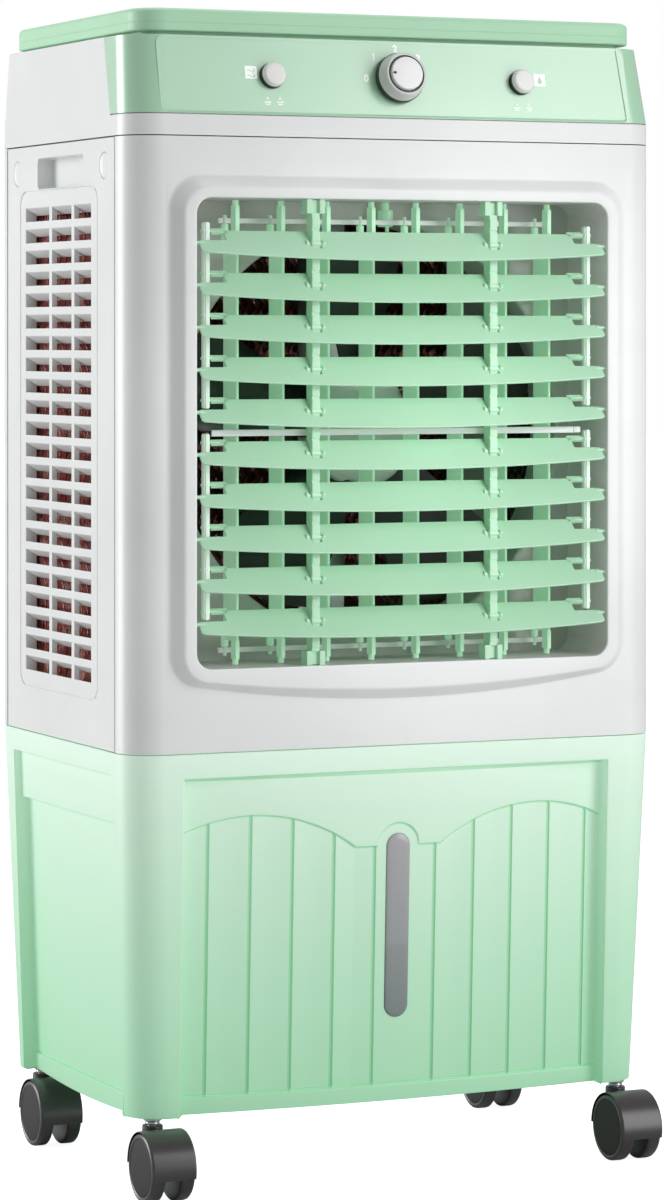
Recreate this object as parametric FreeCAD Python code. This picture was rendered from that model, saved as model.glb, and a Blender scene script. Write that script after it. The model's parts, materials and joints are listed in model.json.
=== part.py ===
import FreeCAD, Part
import math
import os

from FreeCAD import Vector

# Evaporative cooler on casters.  Millimetres: +X to the right, the air outlet faces -Y, +Z up, floor at z = 0.
# The body is drawn centred on x = y = 0 and moved by DEPTH_SHIFT on export, because its wheels reach out.

# Case
HALF_W, HALF_D = 225.0, 143.0
FRONT_R, REAR_R = 28.0, 9.0
WALL = 2.5
TANK_Z, CASE_Z, BOX_Z = 59.5, 336.0, 803.0
FRONT_SEAM, REAR_SEAM = -112.0, 129.5

# Control box, fascia and lid
FASCIA_Z, BOX_TOP = 819.5, 880.0
BOX_TOP_HALF_W, BOX_TOP_FRONT, BOX_TOP_REAR = 221.0, -129.5, 142.5
FASCIA_T, FASCIA_EDGE_LOW, FASCIA_EDGE_TOP = 2.0, -102.0, -78.0
FIELD_HALF_W, FIELD_LOW, FIELD_HIGH, FIELD_IN = 196.0, -29.5, 28.5, 0.6
LID_Z, LID_EDGE_Z, LID_CROWN_Z = 882.5, 900.0, 904.0
LID_HALF_W, LID_FRONT, LID_REAR = 213.0, -130.0, 142.0
LID_FRONT_R, LID_REAR_R, LID_ROUND = 24.0, 9.0, 5.0
RIM_HALF_W, RIM_INSET, RIM_T = 205.0, 12.0, 3.0
CONTROL_Z = 850.0
KNOB_R, KNOB_FACE_R, KNOB_H = 19.5, 16.5, 16.0
BUTTON_X, BUTTON_R, BUTTON_FACE_R, BUTTON_H, BUTTON_TRAVEL = 106.0, 9.8, 8.5, 7.5, 3.5

# Air outlet
LIP_Y, TUNNEL_END = -153.0, -84.0
OPEN_HALF_W, OPEN_Z0, OPEN_Z1, OPEN_R = 174.0, 400.5, 756.0, 12.0
SURROUND_HALF_W, SURROUND_TOP, SURROUND_SIDE_Z, SURROUND_MID_Z, SURROUND_R = 192.5, 773.0, 386.0, 372.5, 25.0
BEVEL = 9.0
OUTLET_Z = 578.0

# Louvre blades
BLADES, BLADE_PITCH = 5, 32.0
BLADE_Y, BLADE_TILT = -148.0, 45.0
BLADE_FRONT, BLADE_FRONT_END, BLADE_REAR = 18.0, 9.9, 12.9
BLADE_T, BLADE_TIP_X, BLADE_REAR_X, BLADE_SHOULDER = 1.8, 171.0, 148.0, 2.0
PIN_R, RUN = 1.5, 0.05
TIE_ARM, TIE_X0, TIE_X1 = 12.4, 159.5, 164.5
RIB_X, RIB_W, RIB_Y0, RIB_Y1 = 75.5, 6.5, -150.6, -139.0
NOTCH_W, NOTCH_FRONT = 9.0, 6.2

# Swing vanes
VANES, VANE_PITCH = 8, 38.0
VANE_Y, VANE_FRONT, VANE_REAR, VANE_T = -128.0, 4.6, 22.4, 2.4
VANE_Z0, VANE_Z1 = 419.0, 732.0
RAIL_T, RAIL_Y0, RAIL_Y1 = 4.5, -134.0, -122.0
STEM_R, ROD_ARM = 2.5, 21.0
CRANK_X, CRANK_Y = 9.0, -93.0

# Fan
SHROUD_T, DUCT_R, DUCT_T, DUCT_END = 3.0, 163.0, 2.5, -40.0
SHROUD_HALF_W, SHROUD_R = 185.0, 8.0
FAN_R, HUB_R, FAN_BLADES, SHAFT_R = 157.0, 46.0, 5, 4.0

# Side and rear grilles, pads and tray
GRILLE_Z0, GRILLE_Z1, GRILLE_D, GRILLE_R = 372.0, 767.0, 9.2, 12.0
SLOT_TOP, SLOT_ROWS, SLOT_PITCH, SLAT_FACE, SLAT_DROP = 753.5, 22, 17.0, 6.2, 5.9
SIDE_GRILLE_Y0, SIDE_GRILLE_Y1 = -75.6, 98.7
REAR_GRILLE_HALF = 165.0
PAD_T, PAD_Z0, PAD_Z1, PAD_FRAME = 20.0, 350.0, 762.0, 3.0
SIDE_PAD_Y0, SIDE_PAD_Y1, REAR_PAD_HALF = -95.0, 105.0, 170.0
PAD_INSET = 11.5
POCKET_Y0, POCKET_Y1, POCKET_Z0, POCKET_Z1, POCKET_D = -44.0, 59.0, 768.0, 792.0, 13.0
CAP_R, CAP_Z, CAP_YS = 10.0, 781.5, (-89.0, 104.5)

# Tank
TANK_FOOT_HALF_W, TANK_FOOT_HALF_D, TANK_WALL = 215.5, 132.5, 3.0
SKIRT_Z, SKIRT_OUT, SIDE_SAG, BOW_SHORT = 72.5, 1.5, 4.0, 4.0
RECESS_HALF_W, RECESS_Z1, RECESS_D, FIELD_D, PANEL_BOW = 180.0, 317.0, 12.0, 1.5, 10.0
ARCH_X, ARCH_Z, ARCH_R, FLAT_Z = 120.0, 286.5, 140.0, 258.4
PLANK_GROOVES, GROOVE_W, GROOVE_D = ((-20.0, -34.1), (31.4, 33.6)), 3.0, 1.2
SIDE_RECESS_Y0, SIDE_RECESS_Y1, SIDE_RECESS_Z1 = -105.0, 117.0, 318.0
SIDE_STEP_Z, SIDE_RECESS_D, SIDE_STEP_D = 280.0, 11.5, 6.0
GAUGE_HALF_W, GAUGE_Z0, GAUGE_Z1 = 9.7, 124.5, 267.2
DOOR_HALF_W, DOOR_Z0, DOOR_Z1, DOOR_Y = 52.0, 290.0, 326.0, 136.5
DRAIN_X, DRAIN_Z = 150.0, 80.0
PUMP_X, PUMP_Y = -150.0, 80.0

# Casters
CASTER_X, CASTER_Y, TRAIL, WHEEL_R, HOOD_R = 198.0, 121.0, 19.0, 26.0, 27.5
WHEEL_IN, WHEEL_OUT, WEB_HALF = 6.2, 17.5, 5.7
AXLE_R, STEM_PIN_R = 3.0, 4.0

DEPTH_SHIFT = (CASTER_Y + TRAIL + HOOD_R - HALF_D) / 2.0


# ---------------------------------------------------------------- shapes

def box(x0, x1, y0, y1, z0, z1):
    return Part.makeBox(x1 - x0, y1 - y0, z1 - z0, Vector(x0, y0, z0))


def rod(radius, start, end):
    """Round bar between two points."""
    axis = Vector(*end) - Vector(*start)
    return Part.makeCylinder(radius, axis.Length, Vector(*start), axis)


def point(axis, at, u, v):
    """Point in the plane across an axis: u and v are the other two coordinates in x, y, z order."""
    return {"x": Vector(at, u, v), "y": Vector(u, at, v), "z": Vector(u, v, at)}[axis]


def prism(axis, start, end, corners):
    """Polygon drawn across an axis and pushed along it from start to end."""
    points = [point(axis, start, u, v) for u, v in corners]
    face = Part.Face(Part.makePolygon(points + points[:1]))
    return face.extrude(point(axis, end, 0, 0) - point(axis, start, 0, 0))


def rounded_wire(axis, at, u0, u1, v0, v1, radii):
    """Rectangle outline with one radius per corner: low-low, high-low, high-high, low-high."""
    edges, first, last = [], None, None
    corners = ((u0, v0, 1, 1), (u1, v0, -1, 1), (u1, v1, -1, -1), (u0, v1, 1, -1))
    for index, ((u, v, su, sv), r) in enumerate(zip(corners, radii)):
        middle = r * (1.0 - math.sqrt(0.5))
        on_side, on_end = point(axis, at, u, v + sv * r), point(axis, at, u + su * r, v)
        start, end = (on_side, on_end) if index % 2 == 0 else (on_end, on_side)
        if last is None:
            first = start
        else:
            edges.append(Part.makeLine(last, start))
        edges.append(Part.Arc(start, point(axis, at, u + su * middle, v + sv * middle), end).toShape())
        last = end
    edges.append(Part.makeLine(last, first))
    return Part.Wire(edges)


def rounded_prism(axis, start, end, u0, u1, v0, v1, radii):
    face = Part.Face(rounded_wire(axis, start, u0, u1, v0, v1, radii))
    return face.extrude(point(axis, end, 0, 0) - point(axis, start, 0, 0))


def stadium(axis, start, end, u_mid, half_w, v0, v1):
    """Upright slot shape with round ends."""
    r = half_w - 0.001
    return rounded_prism(axis, start, end, u_mid - half_w, u_mid + half_w, v0, v1, (r, r, r, r))


def fused(shapes):
    return shapes[0].multiFuse(shapes[1:]).removeSplitter() if len(shapes) > 1 else shapes[0]


def mirrored(shape):
    """The same shape on the other side of x = 0."""
    return shape.mirror(Vector(0, 0, 0), Vector(1, 0, 0))


def both_sides(shape):
    return [shape, mirrored(shape)]


def turned(shape, origin, axis, degrees):
    copy = shape.copy()
    copy.rotate(Vector(*origin), Vector(*axis), degrees)
    return copy


# ---------------------------------------------------------------- case

def plan(at, half_w, y_front, y_rear, inset=0.0):
    """Plan outline of the body: large radii at the front corners, small ones at the rear."""
    front_r, rear_r = FRONT_R - inset, REAR_R - inset
    return rounded_wire("z", at, -half_w + inset, half_w - inset, y_front + inset, y_rear - inset,
                        (front_r, front_r, rear_r, rear_r))


def plan_prism(z0, z1, inset=0.0):
    return Part.Face(plan(z0, HALF_W, -HALF_D, HALF_D, inset)).extrude(Vector(0, 0, z1 - z0))


def surround_wire(y, inset):
    """Outline of the raised outlet surround, whose bottom edge bows downward."""
    half_w, top, r = SURROUND_HALF_W - inset, SURROUND_TOP - inset, SURROUND_R - inset * 0.5
    side_z, mid_z = SURROUND_SIDE_Z + inset * 0.5, SURROUND_MID_Z + inset * 0.95
    cut = r * (1.0 - math.sqrt(0.5))

    def at(x, z):
        return Vector(x, y, z)

    return Part.Wire([
        Part.Arc(at(-half_w + r, side_z), at(0, mid_z), at(half_w - r, side_z)).toShape(),
        Part.Arc(at(half_w - r, side_z), at(half_w - cut, side_z + cut), at(half_w, side_z + r)).toShape(),
        Part.makeLine(at(half_w, side_z + r), at(half_w, top - r)),
        Part.Arc(at(half_w, top - r), at(half_w - cut, top - cut), at(half_w - r, top)).toShape(),
        Part.makeLine(at(half_w - r, top), at(-half_w + r, top)),
        Part.Arc(at(-half_w + r, top), at(-half_w + cut, top - cut), at(-half_w, top - r)).toShape(),
        Part.makeLine(at(-half_w, top - r), at(-half_w, side_z + r)),
        Part.Arc(at(-half_w, side_z + r), at(cut - half_w, side_z + cut), at(r - half_w, side_z)).toShape()])


def opening(start, end, grow=0.0):
    r = OPEN_R + grow
    return rounded_prism("y", start, end, -OPEN_HALF_W - grow, OPEN_HALF_W + grow,
                         OPEN_Z0 - grow, OPEN_Z1 + grow, (r, r, r, r))


def panel_lug(y0, y1, wall_y0, wall_y1):
    """Post on the right-hand side that a side panel's screw bites into."""
    z0, z1 = CAP_Z - 6.0, CAP_Z + 6.0
    return box(202.0, 212.0, y0, y1, z0, z1).fuse(box(204.0, HALF_W - WALL, wall_y0, wall_y1, z0, z1))


def front_frame():
    skin = plan_prism(CASE_Z, BOX_Z).cut(plan_prism(CASE_Z, BOX_Z, WALL))
    skin = skin.common(box(-HALF_W, HALF_W, -HALF_D, FRONT_SEAM, CASE_Z, BOX_Z))
    raised = Part.makeLoft([surround_wire(-HALF_D, 0.0), surround_wire(LIP_Y, BEVEL)], True, True)
    back = surround_wire(-HALF_D, WALL)
    hollow = Part.makeLoft([back, surround_wire(LIP_Y + WALL, BEVEL + WALL)], True, True)
    hollow = hollow.fuse(Part.Face(back).extrude(Vector(0, WALL, 0)))
    tunnel = opening(LIP_Y, TUNNEL_END, WALL)
    lugs = both_sides(panel_lug(-125.0, -80.0, -125.0, FRONT_SEAM))
    shell = skin.fuse(raised).cut(hollow.cut(tunnel)).fuse([tunnel] + lugs)
    shell = shell.cut(opening(LIP_Y - 1.0, TUNNEL_END + 1.0))
    rails = [box(-OPEN_HALF_W, OPEN_HALF_W, RAIL_Y0, RAIL_Y1, z, z + RAIL_T)
             for z in (OPEN_Z0, OPEN_Z1 - RAIL_T)]
    shell = shell.fuse(rails)
    holes = [rod(STEM_R + RUN, (x, VANE_Y, z), (x, VANE_Y, z + RAIL_T))
             for x in vane_places() for z in (OPEN_Z0, OPEN_Z1 - RAIL_T)]
    holes += [rod(PIN_R + RUN, (-OPEN_HALF_W - 2.0, BLADE_Y, z), (OPEN_HALF_W + 2.0, BLADE_Y, z))
              for z in blade_heights(1) + blade_heights(-1)]
    holes.append(rod(3.0 + RUN, (CRANK_X, CRANK_Y, OPEN_Z1), (CRANK_X, CRANK_Y, OPEN_Z1 + WALL)))
    holes += both_sides(rod(PIN_R + 0.5, (202.0, CAP_YS[0], CAP_Z), (212.0, CAP_YS[0], CAP_Z)))
    return shell.cut(holes).removeSplitter()


def slot_cutters(axis, face, columns):
    """Openings along `axis` of a grille whose outer face is at `face`; the slats fall towards the inside."""
    outer, inner = face + 1.0, face - GRILLE_D - 1.0
    slope, height = SLAT_DROP / GRILLE_D, SLOT_PITCH - SLAT_FACE
    cutters = []
    for row in range(SLOT_ROWS):
        top = SLOT_TOP - row * SLOT_PITCH
        high, low = top + slope, top - slope * (GRILLE_D + 1.0)
        profile = [(outer, high), (outer, high - height), (inner, low - height), (inner, low)]
        cutters += [prism(axis, start, end, profile) for start, end in columns]
    return cutters


def side_panel():
    """Right-hand side panel with its handle pocket, slatted grille and pad frame."""
    inner = HALF_W - WALL
    plate = box(inner, HALF_W, FRONT_SEAM, REAR_SEAM, CASE_Z, BOX_Z)
    block = rounded_prism("x", HALF_W - GRILLE_D, HALF_W, SIDE_GRILLE_Y0, SIDE_GRILLE_Y1,
                          GRILLE_Z0, GRILLE_Z1, (GRILLE_R,) * 4)
    frame_y0, frame_y1 = SIDE_PAD_Y0 - PAD_FRAME, SIDE_PAD_Y1 + PAD_FRAME
    pad_x0 = HALF_W - PAD_INSET - PAD_T
    frame = box(pad_x0, inner, frame_y0, frame_y1, PAD_Z0 - PAD_FRAME, PAD_Z1 + PAD_FRAME)
    frame = frame.cut(box(pad_x0 - 1, HALF_W, SIDE_PAD_Y0, SIDE_PAD_Y1, PAD_Z0, PAD_Z1))
    pocket = box(HALF_W - POCKET_D - WALL, HALF_W, POCKET_Y0 - WALL, POCKET_Y1 + WALL,
                 POCKET_Z0 - WALL, POCKET_Z1 + WALL)
    bosses = [rod(12.0, (212.0, y, CAP_Z), (HALF_W - 0.5, y, CAP_Z)) for y in CAP_YS]
    panel = plate.fuse([block, frame, pocket] + bosses)
    columns = ((-60.9, -23.1), (-17.1, 26.7), (33.1, 85.7))
    cutters = slot_cutters("y", HALF_W, columns)
    cutters.append(box(HALF_W - POCKET_D, HALF_W + 1, POCKET_Y0, POCKET_Y1, POCKET_Z0, POCKET_Z1))
    for y in CAP_YS:
        cutters.append(rod(CAP_R + 0.4, (HALF_W - 3.0, y, CAP_Z), (HALF_W + 1.0, y, CAP_Z)))
        cutters.append(rod(4.2, (HALF_W - 5.5, y, CAP_Z), (HALF_W - 3.0, y, CAP_Z)))
        cutters.append(rod(PIN_R + 0.6, (212.0, y, CAP_Z), (HALF_W - 5.5, y, CAP_Z)))
    return panel.cut(cutters).removeSplitter()


def rear_panel():
    skin = plan_prism(CASE_Z, BOX_Z).cut(plan_prism(CASE_Z, BOX_Z, WALL))
    skin = skin.common(box(-HALF_W, HALF_W, REAR_SEAM, HALF_D, CASE_Z, BOX_Z))
    r, half = GRILLE_R, REAR_GRILLE_HALF
    block = rounded_prism("y", HALF_D - GRILLE_D, HALF_D, -half, half, GRILLE_Z0, GRILLE_Z1, (r, r, r, r))
    outer = REAR_PAD_HALF + PAD_FRAME
    pad_y0 = HALF_D - PAD_INSET - PAD_T
    frame = box(-outer, outer, pad_y0, HALF_D - WALL, PAD_Z0 - PAD_FRAME, PAD_Z1 + PAD_FRAME)
    frame = frame.cut(box(-REAR_PAD_HALF, REAR_PAD_HALF, pad_y0 - 1, HALF_D, PAD_Z0, PAD_Z1))
    lugs = both_sides(panel_lug(95.0, 132.0, REAR_SEAM, HALF_D - WALL))
    panel = skin.fuse([block, frame] + lugs)
    span = 2.0 * (half - 15.0) / 5
    columns = [(-half + 15.0 + i * span + 3.0, -half + 15.0 + (i + 1) * span - 3.0) for i in range(5)]
    cutters = slot_cutters("x", HALF_D, columns)
    cutters += both_sides(rod(PIN_R + 0.5, (202.0, CAP_YS[1], CAP_Z), (212.0, CAP_YS[1], CAP_Z)))
    cutters.append(rod(6.0, (-190.0, HALF_D - 5.0, 782.0), (-190.0, HALF_D + 1.0, 782.0)))
    return panel.cut(cutters).removeSplitter()


def screw_caps():
    right = [rod(CAP_R, (HALF_W - 3.0, y, CAP_Z), (HALF_W - 0.1, y, CAP_Z)) for y in CAP_YS]
    return right + [mirrored(cap) for cap in right]


def assembly_screws():
    """Pan-head screws under the caps that hold the side panels to the front and rear posts."""
    right = [rod(4.0, (HALF_W - 5.5, y, CAP_Z), (HALF_W - 3.2, y, CAP_Z))
             .fuse(rod(PIN_R + 0.4, (203.0, y, CAP_Z), (HALF_W - 5.5, y, CAP_Z))) for y in CAP_YS]
    return right + [mirrored(screw) for screw in right]


# ---------------------------------------------------------------- control box

FASCIA_TILT = math.atan2(BOX_TOP_FRONT + HALF_D, BOX_TOP - FASCIA_Z)
FASCIA_OUT = Vector(0, -math.cos(FASCIA_TILT), math.sin(FASCIA_TILT))


def fascia_point(x, depth=0.0):
    """Point on the control row, `depth` behind the sloping fascia."""
    y = -HALF_D + (CONTROL_Z - FASCIA_Z) * math.tan(FASCIA_TILT)
    return Vector(x, y, CONTROL_Z) - FASCIA_OUT * depth


def fascia_rod(radius, x, near, far):
    """Round bar square to the fascia, from `near` to `far` behind its face (negative is in front)."""
    return Part.makeCylinder(radius, far - near, fascia_point(x, near), FASCIA_OUT * -1.0)


def box_body(inset):
    lower, upper = plan(BOX_Z, HALF_W, -HALF_D, HALF_D, inset), plan(FASCIA_Z, HALF_W, -HALF_D, HALF_D, inset)
    top = plan(BOX_TOP, BOX_TOP_HALF_W, BOX_TOP_FRONT, BOX_TOP_REAR, inset)
    return Part.makeLoft([lower, upper, top], True, True)


def fascia_zone():
    """Everything in front of the fascia's slanting side edge."""
    front = -HALF_D - 30.0
    edge = [(front, FASCIA_Z), (FASCIA_EDGE_LOW, FASCIA_Z), (FASCIA_EDGE_TOP, BOX_TOP),
            (FASCIA_EDGE_TOP, BOX_TOP + 1.0), (front, BOX_TOP + 1.0)]
    return prism("x", -HALF_W - 5.0, HALF_W + 5.0, edge)


def control_holes():
    buttons = [fascia_rod(BUTTON_R + 0.3, side * BUTTON_X, -5.0, 9.0) for side in (-1, 1)]
    return buttons + [fascia_rod(SHAFT_R + 0.5, 0.0, -5.0, 9.0)]


def control_box():
    """White top housing, stepped back behind the fascia, with a deck that the lid rests on."""
    deck = box(-HALF_W, HALF_W, -HALF_D, HALF_D, BOX_TOP - WALL, BOX_TOP)
    shell = box_body(0.0).cut(box_body(WALL + FASCIA_T).cut(deck))
    step = box_body(0.0).cut(box_body(FASCIA_T)).common(fascia_zone())
    return shell.cut([step] + control_holes()).removeSplitter()


def control_panel():
    """Coloured fascia that wraps the front corners, with a shallow inset field on its face."""
    skin = box_body(0.0).cut(box_body(FASCIA_T)).common(fascia_zone())
    field = rounded_prism("y", -FIELD_IN, 5.0, -FIELD_HALF_W, FIELD_HALF_W, FIELD_LOW, FIELD_HIGH, (6.0,) * 4)
    field.rotate(Vector(0, 0, 0), Vector(1, 0, 0), -math.degrees(FASCIA_TILT))
    field.translate(fascia_point(0.0) + FASCIA_OUT * 5.0)
    return skin.cut([field] + control_holes())


def crowned_lid(inset):
    """Lid shape, `inset` inside its outer face: rounded corners, soft edges and a crown both ways."""
    half_w, front, rear = LID_HALF_W - inset, LID_FRONT + inset, LID_REAR - inset
    radii = (LID_FRONT_R - inset,) * 2 + (LID_REAR_R - inset,) * 2
    edge_z, crown_z = LID_EDGE_Z - inset, LID_CROWN_Z - inset

    def crown(axis, low, high, start, end):
        p = [point(axis, start, u, v) for u, v in (
            (low, LID_Z), (high, LID_Z), (high, edge_z - LID_ROUND), (high - LID_ROUND, edge_z),
            ((low + high) / 2.0, crown_z), (low + LID_ROUND, edge_z), (low, edge_z - LID_ROUND))]
        wire = Part.Wire([Part.makeLine(p[0], p[1]), Part.makeLine(p[1], p[2]), Part.makeLine(p[2], p[3]),
                          Part.Arc(p[3], p[4], p[5]).toShape(), Part.makeLine(p[5], p[6]),
                          Part.makeLine(p[6], p[0])])
        return Part.Face(wire).extrude(point(axis, end, 0, 0) - point(axis, start, 0, 0))

    block = rounded_prism("z", LID_Z, LID_CROWN_Z, -half_w, half_w, front, rear, radii)
    for sweep in (crown("y", -half_w, half_w, front, rear), crown("x", front, rear, -half_w, half_w)):
        block = block.common(sweep)
    return block


def rim_block(z0, z1, inset):
    """Footprint of the narrower rim that the lid stands on, `inset` inside its outer face."""
    half_w, front, rear = RIM_HALF_W - inset, LID_FRONT + RIM_INSET + inset, LID_REAR - RIM_INSET - inset
    return rounded_prism("z", z0, z1, -half_w, half_w, front, rear, (18.0 - inset,) * 2 + (8.0 - inset,) * 2)


def top_cover():
    """Crowned lid on a narrower rim, with a flange that closes the step between the two."""
    shell = crowned_lid(0.0).cut(crowned_lid(WALL))
    rim = rim_block(BOX_TOP, LID_Z + WALL, 0.0).cut(rim_block(BOX_TOP, LID_Z + WALL, RIM_T))
    flange = crowned_lid(1.0).common(box(-HALF_W, HALF_W, -HALF_D, HALF_D, LID_Z, LID_Z + WALL))
    flange = flange.cut(rim_block(LID_Z, LID_Z + WALL, RIM_T))
    return shell.fuse([rim, flange]).removeSplitter()


def speed_knob():
    """Tapered knob, its round cap, and the switch shaft that turns with them."""
    base, out = fascia_point(0.0), FASCIA_OUT
    body = Part.makeCone(KNOB_R, KNOB_FACE_R, KNOB_H - 0.5, base + out * 0.5, out)
    body = body.cut([Part.makeCylinder(SHAFT_R, KNOB_H - 8.0, base, out),
                     Part.makeCylinder(15.2, 1.2, base + out * (KNOB_H - 1.2), out),
                     box(-KNOB_FACE_R + 3.0, -KNOB_FACE_R + 6.0, -1.0, 1.0, -1.0, 1.0)])
    cap = Part.makeCylinder(14.5, 3.8, base + out * (KNOB_H - 1.2), out)
    pointer = Part.makeBox(4.0, 1.6, 1.0, Vector(-13.8, -0.8, 0))
    pointer.rotate(Vector(0, 0, 0), Vector(1, 0, 0), 90.0 - math.degrees(FASCIA_TILT))
    pointer.translate(base + out * (KNOB_H + 2.0))
    return [body, cap.cut(pointer), fascia_rod(SHAFT_R, 0.0, -KNOB_H + 8.0, 20.0)]


def push_button(side):
    base, out, x = fascia_point(side * BUTTON_X), FASCIA_OUT, side * BUTTON_X
    collar = Part.makeCylinder(BUTTON_R, BUTTON_H + 3.0, base - out * 5.0, out)
    face = Part.makeCone(BUTTON_R, BUTTON_FACE_R, 2.0, base + out * (BUTTON_H - 2.0), out)
    return collar.fuse([face, fascia_rod(3.0, x, 4.0, 17.0)]).removeSplitter()


def switch_bodies():
    """Two push-lock switches and the rotary switch, each with a bore for its plunger or shaft."""
    bodies = []
    for x, half, plunger in ((-BUTTON_X, 9.0, 3.0), (0.0, 15.0, SHAFT_R), (BUTTON_X, 9.0, 3.0)):
        case = Part.makeBox(2 * half, 2 * half, 18.0, Vector(-half, -half, 0))
        case.rotate(Vector(0, 0, 0), Vector(1, 0, 0), 90.0 - math.degrees(FASCIA_TILT))
        case.translate(fascia_point(x, 30.0))
        bodies.append(case.cut(fascia_rod(plunger + RUN, x, 0.0, 21.0)))
    return bodies


# ---------------------------------------------------------------- louvres and vanes

def blade_heights(side):
    """Pivot heights of one linked group, counted away from the middle of the outlet."""
    return [OUTLET_Z + side * BLADE_PITCH * (0.5 + i) for i in range(BLADES)]


def vane_places():
    return [VANE_PITCH * (i - (VANES - 1) / 2.0) for i in range(VANES)]


def louvre_blade(z):
    """Blade with a bowed front edge, rib notches, pivot pins and an arm for the tie bar at each end."""
    tip, shoulder, t = BLADE_TIP_X, BLADE_REAR_X, BLADE_T / 2.0
    front = Part.Arc(Vector(-tip, -BLADE_FRONT_END, -t), Vector(0, -BLADE_FRONT, -t),
                     Vector(tip, -BLADE_FRONT_END, -t)).toShape()
    right = [(tip, -BLADE_FRONT_END), (tip, BLADE_SHOULDER), (shoulder, BLADE_SHOULDER), (shoulder, BLADE_REAR)]
    back = [Vector(x, y, -t) for x, y in right + [(-x, y) for x, y in reversed(right)]]
    outline = Part.Wire([front] + Part.makePolygon(back).Edges)
    sheet = Part.Face(outline).extrude(Vector(0, 0, BLADE_T))
    notch = box(RIB_X - NOTCH_W / 2, RIB_X + NOTCH_W / 2, -NOTCH_FRONT, BLADE_REAR + 1, -t - 1, t + 1)
    fittings = [rod(PIN_R, (RIB_X - 8.0, 0, 0), (RIB_X + 8.0, 0, 0)),
                rod(PIN_R, (tip - 5.0, 0, 0), (OPEN_HALF_W + 1.5, 0, 0)),
                box(shoulder - 3.0, TIE_X0 - 1.5, TIE_ARM - 2.5, TIE_ARM + 2.5, -t, t),
                rod(1.25, (shoulder + 3.0, TIE_ARM, 0), (TIE_X1 + 1.5, TIE_ARM, 0))]
    blade = sheet.cut(both_sides(notch)).fuse(fittings + [mirrored(f) for f in fittings]).removeSplitter()
    blade = turned(blade, (0, 0, 0), (1, 0, 0), BLADE_TILT)
    blade.translate(Vector(0, BLADE_Y, z))
    return blade


def tie_bars(side):
    """Pair of upright bars that join the five blades of a group, one at each end."""
    tilt = math.radians(BLADE_TILT)
    y, rise = BLADE_Y + TIE_ARM * math.cos(tilt), TIE_ARM * math.sin(tilt)
    pins = [z + rise for z in blade_heights(side)]
    bar = box(TIE_X0, TIE_X1, y - 3.75, y + 3.75, min(pins) - 6.0, max(pins) + 7.0)
    bar = bar.cut([rod(1.25 + RUN, (TIE_X0 - 1, y, z), (TIE_X1 + 1, y, z)) for z in pins])
    return both_sides(bar)


def louvre_frame():
    """Fixed grid: two upright ribs that carry the blades' pins, tied by a cross bar."""
    rib = box(RIB_X - RIB_W / 2, RIB_X + RIB_W / 2, RIB_Y0, RIB_Y1, OPEN_Z0, OPEN_Z1)
    blocks = [box(RIB_X - 7.5, RIB_X + 7.5, RIB_Y0, RIB_Y1, z0, z1)
              for z0, z1 in ((OPEN_Z0, OPEN_Z0 + 11.0), (OPEN_Z1 - 11.0, OPEN_Z1))]
    rib = rib.fuse(blocks)
    bar = box(-157.0, 157.0, RIB_Y1, RIB_Y1 + 2.5, OUTLET_Z - 2.5, OUTLET_Z + 2.5)
    grid = fused(both_sides(rib) + [bar])
    holes = [rod(PIN_R + RUN, (-RIB_X - 9, BLADE_Y, z), (RIB_X + 9, BLADE_Y, z))
             for z in blade_heights(1) + blade_heights(-1)]
    return grid.cut(holes)


def swing_vane(x):
    """Upright vane on two stems, with a pin behind each end for the tie rods."""
    plate = box(x - VANE_T / 2, x + VANE_T / 2, VANE_Y - VANE_FRONT, VANE_Y + VANE_REAR, VANE_Z0, VANE_Z1)
    parts = []
    pin_y = VANE_Y + ROD_ARM
    for end, out, rail in ((VANE_Z1, 1, OPEN_Z1 - RAIL_T), (VANE_Z0, -1, OPEN_Z0 + RAIL_T)):
        stop = rail - out * 0.5
        low, high = sorted((end - out, stop))
        parts.append(box(x - 1.65, x + 1.65, VANE_Y - VANE_FRONT, VANE_Y + 5.0, low, high))
        parts.append(rod(STEM_R, (x, VANE_Y, stop - out), (x, VANE_Y, rail + out * (RAIL_T - 0.5))))
        parts.append(rod(3.0, (x, pin_y, end - out * 10.0), (x, pin_y, end + out * 5.5)))
        parts.append(rod(PIN_R, (x, pin_y, end), (x, pin_y, end + out * 12.5)))
    return plate.fuse(parts).removeSplitter()


def vane_tie_rods():
    """Upper and lower rods that keep the vanes parallel; the upper one has the crank's lug."""
    y, reach, rods = VANE_Y + ROD_ARM, vane_places()[-1] + 6.0, []
    for end, out in ((VANE_Z1, 1), (VANE_Z0, -1)):
        low, high = sorted((end + out * 6.0, end + out * 10.0))
        pins = [rod(PIN_R + RUN, (x, y, low - 1), (x, y, high + 1)) for x in vane_places()]
        rods.append(box(-reach, reach, y - 2.5, y + 2.5, low, high).cut(pins))
    lug = box(CRANK_X - 4.0, CRANK_X + 4.0, y + 2.5, y + 6.0, VANE_Z1 + 6.0, VANE_Z1 + 10.0)
    return [rods[0].fuse(lug).removeSplitter(), rods[1]]


def swing_crank():
    """Drive block on the swing motor's shaft, with an off-centre peg."""
    x, y = CRANK_X, CRANK_Y
    return fused([rod(6.0, (x, y, 737.0), (x, y, 750.0)), rod(3.0, (x, y, 750.0), (x, y, 764.0)),
                  rod(PIN_R, (x, y - 3.5, 733.0), (x, y - 3.5, 737.0))])


def swing_motor():
    z = OPEN_Z1 + WALL
    body = rod(18.0, (CRANK_X, CRANK_Y - 6.0, z), (CRANK_X, CRANK_Y - 6.0, z + 17.0))
    ears = box(CRANK_X - 26.0, CRANK_X + 26.0, CRANK_Y - 10.0, CRANK_Y - 2.0, z, z + 2.0)
    return body.fuse(ears).cut(rod(3.0 + RUN, (CRANK_X, CRANK_Y, z - 1.0), (CRANK_X, CRANK_Y, z + 7.0)))


# ---------------------------------------------------------------- fan

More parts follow.
